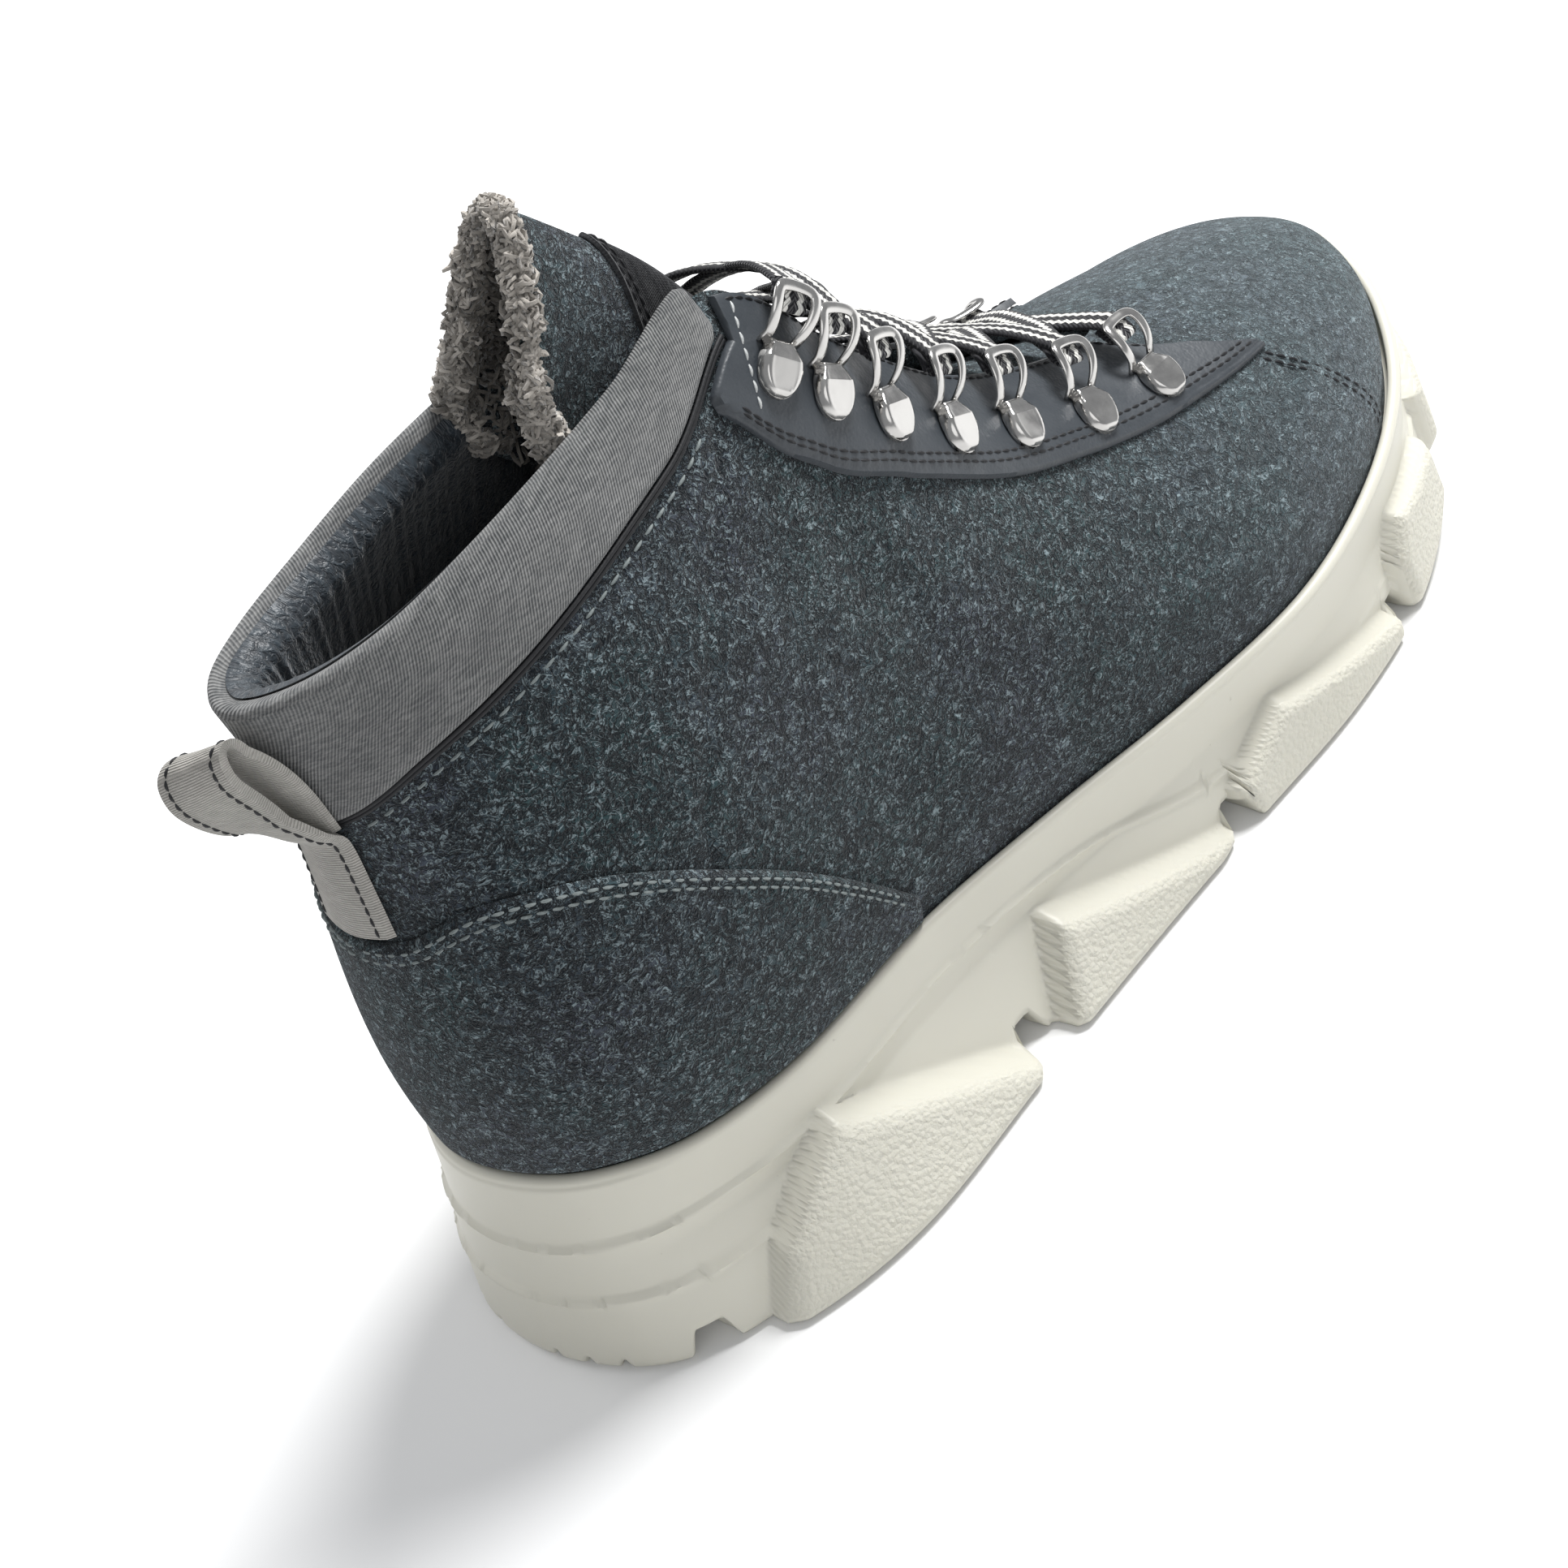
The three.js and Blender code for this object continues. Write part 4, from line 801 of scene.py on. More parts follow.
def edge_cuts(x, y):
    """Grooves and small slits that run out through the tread's edge: how far they rise from the floor."""
    cut = np.zeros(np.broadcast(x, y).shape)
    for groove in GROOVES:
        cut = np.maximum(cut, GROOVE_DEPTH * ramp(abs(x - groove * LENGTH), GROOVE_WIDTH / 2, GROOVE_WIDTH / 4))
    for slit in HEEL_SLITS:
        at = ramp(abs(abs(y) - slit * BALL_WIDTH), SLIT_WIDTH / 2, SLIT_WIDTH / 6) * ramp(x, SLIT_END + 1, SLIT_END)
        cut = np.maximum(cut, SLIT_DEPTH * at)
    return cut


def tread(x, y):
    """How far the tread is cut up from the floor."""
    cut = edge_cuts(x, y)
    for x0, y0, x1, y1 in CUTS:
        a = np.array([x0 * LENGTH, y0 * BALL_WIDTH])
        ab = np.array([x1 * LENGTH, y1 * BALL_WIDTH]) - a
        share = np.clip(((x - a[0]) * ab[0] + (abs(y) - a[1]) * ab[1]) / (ab @ ab), 0, 1)
        away = np.hypot(x - a[0] - share * ab[0], abs(y) - a[1] - share * ab[1])
        cut = np.maximum(cut, CUT_DEPTH * ramp(away, CUT_WIDTH / 2, CUT_WIDTH / 4))
    ribs = RIB_DEPTH * ramp(abs((x / RIB_PITCH) % 1 - 0.5), 0.28, 0.12) * (x > TOE_RIBS * LENGTH)
    chevron = ((x + 0.8 * abs(y)) / CHEVRON_PITCH) % 1
    field = ramp(abs(y), 0.21 * BALL_WIDTH, 0.23 * BALL_WIDTH) * ramp(abs(y), 0.37 * BALL_WIDTH, 0.35 * BALL_WIDTH)
    field = field * ramp(x, 0.59 * LENGTH, 0.61 * LENGTH) * ramp(x, 0.765 * LENGTH, 0.745 * LENGTH)
    return np.maximum(cut, ribs + 0.8 * ramp(abs(chevron - 0.5), 0.3, 0.15) * field)


def to_polygon(x, y, corners):
    """Signed distance to an outline, positive inside it."""
    far, inside = np.full(x.shape, 1e9), np.zeros(x.shape, bool)
    for (ax, ay), (bx, by) in zip(corners, corners[1:] + corners[:1]):
        dx, dy = bx - ax, by - ay
        share = np.clip(((x - ax) * dx + (y - ay) * dy) / (dx * dx + dy * dy), 0, 1)
        far = np.minimum(far, np.hypot(x - ax - share * dx, y - ay - share * dy))
        crosses = (ay > y) != (by > y)
        inside ^= crosses & (x < ax + (y - ay) * dx / (dy if dy else 1e-9))
    return np.where(inside, far, -far)


def make_sole():
    s = np.linspace(-SOLE_LAST, SOLE_LAST, SOLE_AROUND, endpoint=False)
    side = Side(s)
    rim, floor = side.rim[:, 2], bottom_height(side.rim[:, 0])
    base_out = LIP_ROUND + side.flare - side.pod
    base = side.at(base_out, floor)
    cut = edge_cuts(base[:, 0], base[:, 1])
    level = np.linspace(1, 0, SIDE_LEVELS)[:, None]
    low = floor + cut + EDGE_HEIGHT
    z = low + level * (rim - 2 * LIP_ROUND - low)
    true_low = floor + EDGE_HEIGHT
    share = np.clip((z - true_low) / (rim - true_low), 0, 1)
    tall = rim - true_low
    wall = LIP_ROUND + side.flare * (1 - share) - side.pod * np.minimum(1, 2.2 * (1 - share))
    wall = wall + 0.5 * side.up_amount * ramp((side.up - share) * tall, 0.0, 1.0)
    wall = wall + 0.5 * side.low_amount * ramp((side.low - share) * tall, 0.0, 1.0)
    for middle, amount in ((side.up, side.up_amount), (side.low, side.low_amount)):
        wall = wall + 0.45 * np.exp(-((((middle - share) * tall - 0.8) / 0.55) ** 2)) * np.minimum(1, amount)
    full = LIP_ROUND + WALL_STEP + side.flare * (1 - share)
    x = np.broadcast_to(side.rim[:, 0], z.shape)
    tall_up = z - floor
    grain = np.zeros(z.shape)
    out = wall
    for corners in PODS:
        far_end = [[1.03 if cx > 0.99 else cx, cy] for cx, cy in corners]
        outline = [(cx * LENGTH, cy) for cx, cy in far_end]
        # the heights follow the side's own height
        scale = np.broadcast_to(rim - floor, z.shape)
        inside = to_polygon(x, tall_up / scale * 36, [(cx, cy * 36 - (8 if cy == 0 else 0)) for cx, cy in outline])
        foot = ramp(inside, -0.7, 0.2)
        bevel = np.minimum(1, np.maximum(inside, 0) / POD_BEVEL)
        pod = full - 1.8 * (1 - ramp(bevel, -0.25, 1.05))
        out = np.maximum(out, wall + (pod - wall) * foot)
        grain = np.maximum(grain, ramp(inside, 0.4, 1.2))
    rows = []
    masks = []
    seat = rim - SEAT_DEPTH
    for away, height in ((-LIP, seat), (-LIP, rim - 0.7)):
        rows.append(side.at(0 * s + away, height))
        masks.append(0 * s)
    for turn in np.linspace(0, np.pi, 9):
        bead = -LIP + (LIP + LIP_ROUND) * (1 - math.cos(turn)) / 2
        rows.append(side.at(0 * s + bead, rim - 0.7 + 0.9 * math.sin(turn) ** 0.8 - (turn / np.pi) ** 3 * 0.7))
        masks.append(0 * s)
    for i in range(SIDE_LEVELS):
        rows.append(side.at(out[i], z[i]))
        masks.append(grain[i])
    for turn in (0.25, 0.5, 0.75, 1.0):
        angle = turn * np.pi / 2
        inward = EDGE_ROUND * (1 - math.cos(angle))
        rows.append(side.at(out[-1] - inward, low - EDGE_HEIGHT * math.sin(angle)))
        masks.append(grain[-1] * (1 - turn))
    around = np.array(rows)
    half = SOLE_AROUND // 2
    outer_ids = (half - np.arange(half + 1)) % SOLE_AROUND
    inner_ids = (half + np.arange(half + 1)) % SOLE_AROUND
    share = np.linspace(0, 1, TREAD_ACROSS)[None, :, None]
    under = around[-1][outer_ids][:, None] * (1 - share) + around[-1][inner_ids][:, None] * share
    inner_cut = tread(under[..., 0], under[..., 1])
    edge_cut = edge_cuts(under[..., 0], under[..., 1])
    from_edge = np.minimum(share[..., 0], 1 - share[..., 0]) * np.linalg.norm(under[:, -1] - under[:, 0], axis=-1)[:, None]
    plain = bottom_height(under[..., 0])
    under[..., 2] = under[..., 2] + (plain + inner_cut - under[..., 2]) * ramp(from_edge, 0.3, 2.0)
    del edge_cut
    few = np.linspace(0, 1, 9)[None, :, None]
    top = around[0][outer_ids][:, None] * (1 - few) + around[0][inner_ids][:, None] * few
    levels = len(around)
    start_under, start_top = around[:, :, 0].size, around[:, :, 0].size + under[:, :, 0].size
    points = np.concatenate([around.reshape(-1, 3), under.reshape(-1, 3), top.reshape(-1, 3)])
    faces = [
        grid_faces(levels, SOLE_AROUND, wrap_columns=True),
        grid_faces(half + 1, TREAD_ACROSS, start=start_under),
        grid_faces(half + 1, 9, start=start_top)[:, ::-1],
    ]
    mask = np.concatenate([np.array(masks).ravel(), np.zeros(len(points) - start_under)])
    place = np.stack([points[:, 0], points[:, 2], mask], -1)
    points, faces, place = weld(points, faces, place)
    add_piece("moulded_sole", points, faces, SOLE, ["sole"], place, sharp=60)


make_sole()


# Upper
PER_STRIP = 24


def stations(start, end, per_strip=PER_STRIP, extra=()):
    even = np.linspace(start, end, round((end - start) * per_strip) + 1)
    return np.unique(np.round(np.concatenate([even, extra]), 4))


def make_upper():
    near_seam = [sign * (VAMP_SEAM + d) for sign in (-1, 1) for d in (-0.03, -0.012, 0.0, 0.012)]
    s = stations(-STRIP_LAST, STRIP_LAST, extra=near_seam)[:-1]
    heights = np.linspace(0, 1, 46)
    strip = np.broadcast_to(s[:, None], (len(s), len(heights)))
    v = np.broadcast_to(heights, strip.shape)
    lower = VAMP_STEP * ramp(abs(s), VAMP_SEAM - 0.012, VAMP_SEAM + 0.012)[:, None]
    seam = np.interp(v, [p[0] for p in QUARTER_SEAM], [p[1] for p in QUARTER_SEAM])
    groove = 0.45 * np.exp(-(((abs(strip) - seam) * STRIP_MM / 0.7) ** 2))
    swell = 0.12 * np.sin(strip * 2.3 + 4 * v) * np.sin(strip * 1.1 - 7 * v)
    outer = off_upper(strip, v, -lower - creased(strip, v) - groove + swell)
    inner = off_upper(strip[:, ::2], v[:, ::2], -WALL - lower)[:, ::-1]

    def seat(p):
        return np.stack([p[:, 0], p[:, 1], p[:, 2] * 0 + upper_point(s, 0.0)[:, 2] - SEAT_DEPTH + GAP], -1)[:, None]

    sections = np.concatenate([seat(outer[:, 0]), outer, inner, seat(inner[:, -1])], 1)
    rows, columns = sections.shape[:2]
    faces = [grid_faces(rows, columns, wrap_rows=True, wrap_columns=True)]
    add_piece("felt_upper", sections.reshape(-1, 3), faces, FELT, ["upper"], sharp=70)


make_upper()


def make_counter():
    s = stations(-COUNTER_END, COUNTER_END, 16)
    high = edge_smooth(COUNTER_EDGE, abs(s))
    swell = lambda strip, v, run, tall: 0.15 * np.sin(strip * 1.9) * np.sin(9 * v)
    overlay("felt_counter", s, 0 * s + 0.006, high, 30, CURVED_GAP, COUNTER_THICK, 1.3, FELT,
            ["heel_counter"], swell)


make_counter()


def make_eyestay(word, sign):
    s = stations(*EYESTAY_ENDS, 24, [BAND_END + 0.02, BAND_END + 0.06, BAND_END + 0.1, 11.3, 11.5, 11.9, 11.97])
    low, high = edge_smooth(EYESTAY_LOW, s), edge_at(EYESTAY_HIGH, s)
    high = np.maximum(high, low + 0.012)
    hem = lambda strip, v, run, tall: -0.3 * ramp(tall, 2.1, 1.7)
    overlay("leather_eyestay_" + word, sign * s, low, high, 34, CURVED_GAP, EYESTAY_THICK, 0.9, LEATHER,
            ["eyestay_" + word], hem)


make_eyestay("outer", -1)
make_eyestay("inner", 1)


# Collar
def make_band():
    s = stations(-BAND_END, BAND_END)
    low = edge_smooth(BAND_EDGE, abs(s)) + 0.012
    middle = np.maximum(0.92, (1 + low) / 2)
    one = np.ones_like(s)
    outline = [
        (low, 0.5, 0), (low, 1.35, 0.25), (low * 0.6 + middle * 0.4, 1.75, 0), (middle, 1.75, 0), (one, 1.65, 0.6),
        (one, 1.5, 1.9), (one, 0.9, 2.7), (one, 0.0, 2.9), (one, -0.9, 2.6), (one, -WALL + 0.4, 2.0),
        (one, -WALL - 0.3, 0.9), (one, -WALL - 0.7, -0.4), (0.97 * one, -WALL - 0.75, 0),
        (0.97 * one, -WALL - CURVED_GAP, 0), (one, -WALL - CURVED_GAP, GAP), (one, CURVED_GAP, GAP),
        (middle, CURVED_GAP, 0),
    ]
    columns = np.array([off_upper(s, np.minimum(v, 1), out, up) for v, out, up in outline])
    count = len(columns)
    t = np.arange(count * 3) / 3
    k = t.astype(int)
    ring = [columns[(k + step) % count] for step in (-1, 0, 1, 2)]
    loops = blend(*ring, (t - k)[:, None, None])
    sections = np.moveaxis(loops, 0, 1)
    run = lengths(upper_point(s, 0.95 * one))
    from_end = np.minimum(run, run[-1] - run)
    middle_line = sections.mean(1, keepdims=True)
    size = (0.25 + 0.75 * rounded(from_end, 2.4))[:, None, None]
    sections = middle_line + (sections - middle_line) * size
    points, faces = skin(sections)
    around = np.cumsum(np.linalg.norm(np.diff(sections, axis=1, append=sections[:, :1]), axis=-1), 1)
    place = np.stack([np.broadcast_to(run[:, None], around.shape), around, 0 * around], -1).reshape(-1, 3)
    band = add_piece("twill_band", points, faces, TWILL, ["collar_band"], place)
    edge = np.linspace(-BAND_END, BAND_END, 420)
    foot = edge_smooth(BAND_EDGE, abs(edge))
    lines = []
    for below, stand in ((0.0, 0.55), (-0.75, 0.3)):
        path = off_upper(edge, up_by(edge, foot, below), stand)
        lines.append(skin(tube(path, 0.42, 8)))
    points, faces = joined(lines)
    add_piece("collar_piping", points, faces, DARK_THREAD)


make_band()


# the lining's course up the wall: height up the strip, how far off the wall, how far past the top
LINING_COURSE = [[LINING_LOW, -3.2, 0], [0.7, -3.4, 0], [0.85, -3.5, 0], [0.96, -3.5, 0], [1, -3.4, 0.2], [1, -2.9, 1.4],
                 [1, -1.9, 2.5]]
LINING_PUFF = 2.6


def make_lining():
    s = stations(-LINING_END - 0.6, LINING_END + 0.6, 40)
    waves = [(rng.uniform(1.1, 2.9), rng.uniform(0, 6.3), rng.uniform(0.3, 1.0)) for _ in range(14)]
    v, out, up = along_rows(LINING_COURSE, np.linspace(0, len(LINING_COURSE) - 1, 31)).T
    strip = np.broadcast_to(s[:, None], (len(s), len(v)))
    wall = off_upper(strip, np.minimum(v, 1), out, up)
    tall = np.concatenate([0 * strip[:, :1], np.linalg.norm(np.diff(wall, axis=1), axis=-1).cumsum(1)], 1)
    run = np.broadcast_to(lengths(upper_point(s, 0 * s + 0.85))[:, None], strip.shape)
    from_edge = np.minimum(np.minimum(tall, tall[:, -1:] - tall), np.minimum(run, run[-1] - run))
    wave = sum(h * np.sin(run * f + p + 1.4 * np.sin(v * 9 + p)) for f, p, h in waves) / 5
    puff = LINING_PUFF * (0.08 + 0.92 * rounded(from_edge, 4.5)) + 0.3 * wave * ramp(tall, 0, 3) * ramp(from_edge, 0.2, 2.5)
    points, faces = slab(wall, off_upper(strip, np.minimum(v, 1), out - puff, up - 0.25 * puff * (v > 0.99)))
    place = np.stack([run, tall, from_edge], -1).reshape(-1, 3)
    lining = add_piece("gathered_lining", points, faces, LINING, ["collar_lining"], np.concatenate([place, place]))


make_lining()


STRAP_REACH = 14.0
LOOP_NEAR, LOOP_FAR = np.array([6.0, 0.0, 5.0]), np.array([0.0, -2.0, 1.0])  # shift of the tip's two sides


def make_loop():
    t = np.linspace(0, len(STRAP_PATH) - 1, (len(STRAP_PATH) - 1) * 9 + 1)
    v, out = along_rows(STRAP_PATH, t).T
    ahead = along_rows(STRAP_PATH, np.minimum(t + 0.3, t[-1])) - along_rows(STRAP_PATH, np.maximum(t - 0.3, 0))
    along = unit(ahead * [COLLAR_RISE, 1.0])
    columns = np.linspace(-STRAP_HALF, STRAP_HALF, 15)
    from_side = (1 - abs(columns) / STRAP_HALF) * BALL_WIDTH * 0.09
    fill = rounded(from_side, 0.8)
    flat = np.clip((out - STRAP_FLAT[0]) / (STRAP_FLAT[1] - STRAP_FLAT[0]), 0, 1)[:, None, None]
    rising = upper_frame(columns, 0.9)[2]

    def row(thick):
        strip = np.broadcast_to(columns, (len(t), len(columns)))
        thick = np.broadcast_to(thick, strip.shape)
        place = off_upper(strip, v[:, None], out[:, None] + thick * along[:, :1])
        place = place - rising * (thick * along[:, 1:])[..., None]
        across = off_upper(strip, v[:, None], 0.0)[..., 1]
        centre = place[:, len(columns) // 2][:, None]
        straight = np.stack([
            np.broadcast_to(centre[..., 0], strip.shape), across, np.broadcast_to(centre[..., 2], strip.shape)
        ], -1)
        far_side = ((columns / STRAP_HALF + 1) / 2)[None, :, None]
        lean = LOOP_NEAR * (1 - far_side) + LOOP_FAR * far_side
        return place * (1 - flat) + straight * flat + ramp(out, 1, STRAP_REACH)[:, None, None] * lean

    half = STRAP_THICK / 2
    front, back = row(half + half * fill), row(half - half * fill * 0.98 - 0.01)
    points, faces = slab(front, back)
    run = lengths(front[:, 7])[:, None] + 0 * columns
    across = np.broadcast_to(columns * BALL_WIDTH * 0.09, run.shape)
    place = np.stack([run, across, 0 * run], -1).reshape(-1, 3)
    add_piece("webbing_loop", points, faces, WEBBING, ["pull_loop"], np.concatenate([place, place]))
    return front, back


LOOP_FRONT, LOOP_BACK = make_loop()


def make_insole():
    s = np.linspace(-SOLE_LAST, SOLE_LAST, 260, endpoint=False)
    side = Side(s)
    inset = LIP + GAP + WALL + VAMP_STEP + 2 * GAP
    seat = side.rim[:, 2] - SEAT_DEPTH + GAP
    half = len(s) // 2
    outer_ids, inner_ids = (half - np.arange(half + 1)) % len(s), (half + np.arange(half + 1)) % len(s)
    share = np.linspace(0, 1, 24)[None, :, None]
    low, high = side.at(0 * s - inset, seat), side.at(0 * s - inset, seat + INSOLE_THICK - 0.6)
    under = low[outer_ids][:, None] * (1 - share) + low[inner_ids][:, None] * share
    top = high[outer_ids][:, None] * (1 - share) + high[inner_ids][:, None] * share
    crown = np.minimum(1, 4 * share[..., 0] * (1 - share[..., 0]) * 2) * 0.6
    top[..., 2] += crown * ramp(np.arange(half + 1), 0, 6)[:, None] * ramp(np.arange(half + 1), half, half - 6)[:, None]
    points, faces = slab(top, under)
    points, faces, _ = weld(points, faces, points)
    # the insole takes the darkest pile copy: painted shade inside the shoe
    insole = add_piece("pile_insole", points, faces, SHADED_PILE, ["insole"])
    return top


INSOLE_TOP = make_insole()


# Tongue: felt outside, and the rest of its thickness is pile
TONGUE_FELT = 2.0


def make_tongue():
    t = np.linspace(0, TONGUE_LAST, 131)
    a = np.sin(np.linspace(-1, 1, 49) * np.pi / 2)
    a = 0.5 * a + 0.5 * np.linspace(-1, 1, 49)
    rows, columns = np.broadcast_to(t[:, None], (131, 49)), np.broadcast_to(a, (131, 49))
    flat = tongue_point(rows, columns)
    across = np.linalg.norm(np.diff(flat, axis=1), axis=-1).cumsum(1)
    across = np.concatenate([0 * across[:, :1], across], 1)
    run = lengths(flat[:, 24])[:, None] + 0 * columns
    from_edge = np.minimum(np.minimum(across, across[:, -1:] - across), np.minimum(run + 1, run[-1] - run))
    half = TONGUE_FELT / 2
    fill = 0.1 + 0.9 * rounded(from_edge, 1.1)
    soft = 0.3 * np.sin(run * 0.16) * np.cos(columns * 1.2)
    outer, inner = off_tongue(rows, columns, -half + half * fill + soft * 0.4), off_tongue(rows, columns, -half - half * fill)
    points, faces = slab(outer, inner)
    tongue = add_piece("felt_tongue", points, faces, FELT, ["tongue"])


make_tongue()


RIBBON_PITCH = 0.62
STRIP_RISE = 0.7
STRIP_DROP = 1.9  # how far the top edge falls away at the sides, in the tongue's stations


def strip_top(a):
    return STRIP_SPAN[1] - STRIP_DROP * (abs(a) / STRIP_HALF) ** 1.4


def make_strip():
    a = np.linspace(-STRIP_HALF, STRIP_HALF, 25)
    columns = np.broadcast_to(a, (420, 25))
    rows = STRIP_SPAN[0] + np.linspace(0, 1, 420)[:, None] * (strip_top(a) - STRIP_SPAN[0])
    flat = tongue_point(rows, columns)
    run = lengths(flat[:, 12])[:, None] + 0 * columns
    across = np.linalg.norm(np.diff(flat, axis=1), axis=-1).cumsum(1)
    across = np.concatenate([0 * across[:, :1], across], 1)
    from_edge = np.minimum(np.minimum(across, across[:, -1:] - across), np.minimum(run, run[-1] - run))
    ribs = 0.07 * np.sin(run * 2 * np.pi / RIBBON_PITCH)
    full = 0.1 + 0.75 * rounded(from_edge, 0.7) + 0.15 * ramp(from_edge, 2.2, 1.6)
    outer = off_tongue(rows, columns, 0.15 + STRIP_RISE * full + ribs * (from_edge > 1.8))
    inner = off_tongue(rows, columns, 0.1)
    points, faces = slab(outer, inner)
    place = np.stack([run, across, from_edge], -1).reshape(-1, 3)
    add_piece("ribbed_strip", points, faces, RIBBON, ["tongue_strip"], np.concatenate([place, place]))


make_strip()


# Lacing rings: the strip, the height up it and the turn on the face of each, as photographed
OUTER_RINGS = [(6.05, 0.83, 0.7), (6.44, 0.80, 0.45), (6.97, 0.80, 0.14), (7.62, 0.80, 0.1), (8.42, 0.81, 0.06),
               (9.4, 0.785, 0.08), (10.55, 0.76, 0.1)]
INNER_RINGS = [(6.3, 0.75, 0.1), (6.7, 0.75, 0.1), (7.25, 0.75, 0.1), (7.9, 0.75, 0), (8.7, 0.75, 0),
               (9.6, 0.75, 0), (10.5, 0.76, -0.1)]
ARCH_BENDS = {-1: (1.2, -0.1), 1: (0.8, -0.5)}  # how steeply a leg leaves the plate, and how it ends
ARCH_LENGTH = 9.2
WIRE_HALF = 1.05
CREASE_AT, CREASE_FALL = 0.28, 0.9  # the plate's crease: along its half length, and how far the two facets fall from it


def ring_frame(index, sign):
    s, v, turn = (OUTER_RINGS if sign < 0 else INNER_RINGS)[index]
    at, out, up, _ = upper_frame(sign * s, v)
    along = unit(np.cross(out, up))
    up = unit(up * math.cos(turn) + along * sign * math.sin(turn))
    along = unit(np.cross(out, up))
    fold = at + out * (2 * CURVED_GAP + EYESTAY_THICK + RING_WIRE) + up * (PLATE_LENGTH / 2)
    bends = ARCH_BENDS[sign]
    lean = up * math.cos(bends[1]) + out * math.sin(bends[1])
    over = unit(np.cross(lean, along))
    over = over if over @ out > 0 else -over
    bar = fold + arch(np.ones(1), up, out, *bends)[0]
    return dict(middle=at + out * (2 * CURVED_GAP + EYESTAY_THICK), along=along, up=up, out=out, lean=lean, fold=fold,
                bar=bar, over=over, bends=bends)


def arch(share, up, out, start, end):
    """Places along a leg that leaves the plate steeply and bends over towards the throat."""
    turn = start + (end - start) * share
    rise = (np.sin(turn) - math.sin(start)) / (end - start)
    away = (math.cos(start) - np.cos(turn)) / (end - start)
    return ARCH_LENGTH * (rise[:, None] * up + away[:, None] * out)


def closed_line(points, per_gap):
    points = np.asarray(points, float)
    t = np.arange(len(points) * per_gap) / per_gap
    k = t.astype(int)
    return blend(*[points[(k + step) % len(points)] for step in (-1, 0, 1, 2)], (t - k)[:, None])


def make_ring(word, index, sign):
    f = ring_frame(index, sign)
    y = np.sort(np.append(np.cos(np.linspace(np.pi, 0, 23)), [CREASE_AT - 0.02, CREASE_AT + 0.02]))[:, None]
    x = np.sin(np.linspace(-np.pi / 2, np.pi / 2, 19))[None]
    half = np.where(y < 0.1, np.sqrt(np.maximum(0.02, 1 - y * y)), np.maximum(np.sqrt(np.maximum(0, 1 - y * y)), 0.66))
    from_edge = np.minimum((1 - abs(x)) * half * PLATE_WIDTH, np.minimum(1 + y, 1.05 - y) * PLATE_LENGTH) / 2
    rim = 0.28 * np.exp(-(((from_edge - 0.55) / 0.3) ** 2))
    height = 0.25 + PLATE_THICK * rounded(from_edge, 0.6) + rim - CREASE_FALL * abs(y - CREASE_AT) + 0.9 * ramp(from_edge, 0, 1)

    def level(height):
        wide = x * half * PLATE_WIDTH / 2
        return (f["middle"] + wide[..., None] * f["along"] + (y * PLATE_LENGTH / 2 + 0 * x)[..., None] * f["up"]
                + np.broadcast_to(height, wide.shape)[..., None] * f["out"])

    plate = slab(level(height), level(0 * height))
    shape = closed_line([[-0.33, -0.1], [-0.36, 0.15], [-0.43, 0.5], [-0.45, 0.82], [-0.35, 0.99], [0, 1.04],
                         [0.35, 0.99], [0.45, 0.82], [0.43, 0.5], [0.36, 0.15], [0.33, -0.1], [0, -0.14]], 5)
    wire = f["fold"] - 0.2 * f["out"] + shape[:, :1] * RING_WIDTH * f["along"] + arch(shape[:, 1], f["up"], f["out"], *f["bends"])
    turn = f["bends"][0] + (f["bends"][1] - f["bends"][0]) * shape[:, 1:]
    sections = tube(wire, WIRE_HALF, 12, closed=True, flat=0.5, towards=f["out"] * np.cos(turn) - f["up"] * np.sin(turn))
    rod = (sections.reshape(-1, 3), [grid_faces(len(wire), 12, True, True)])
    points, faces = joined([plate, rod])
    add_piece(f"nickel_ring_{word}_{index + 1}", points, faces, NICKEL, [f"ring_{word}_{index + 1}"], sharp=75)


for ring_word, ring_sign in (("outer", -1), ("inner", 1)):
    for ring_index in range(len(RING_STRIPS)):
        make_ring(ring_word, ring_index, ring_sign)


# Lace
THROAT_OUT = np.array([0.76, 0, 0.65])
LACE_LIFT = (5.5, 5.0, 4.4, 3.0, 2.2, 1.4)  # how far a crossing stands up, from the top one down
LACE_FOLD = [(1.1, 2.0), (1.35, -0.6), (0.75, -2.6), (0.1, -0.6), (0.1, 2.0)]  # under the bar, and past it


def lace_turn(index, sign):
    clear = RING_WIRE + LACE_THICK / 2 + 0.2
    f = ring_frame(index, sign)
    return [(f["bar"] - f["over"] * (clear + under) + f["lean"] * past, f["along"], sign) for under, past in LACE_FOLD]


def lace_run(start):
    path, sign = [], start
    for index in range(len(RING_STRIPS) - 1, -1, -1):
        path += lace_turn(index, sign)
        sign = -sign
    points, wides = [], []
    count = len(LACE_FOLD)
    for index, ((at, wide, side), following) in enumerate(zip(path, path[1:] + [None])):
        points.append(at)
        wides.append(wide)
        if following is None or following[2] == side:
            continue
        next_wide = following[1] * np.sign(wide @ following[1])
        for share in (0.25, 0.5, 0.75):
            lift = LACE_LIFT[5 - index // count] * math.sin(math.pi * share) ** 0.6 + start * 0.5
            points.append(at * (1 - share) + following[0] * share + THROAT_OUT * lift)
            wides.append(unit(wide * (1 - share) + next_wide * share))
    for i in range(1, len(wides)):
        if wides[i] @ wides[i - 1] < 0:
            wides[i] = -wides[i]
    return np.array(points), np.array(wides)


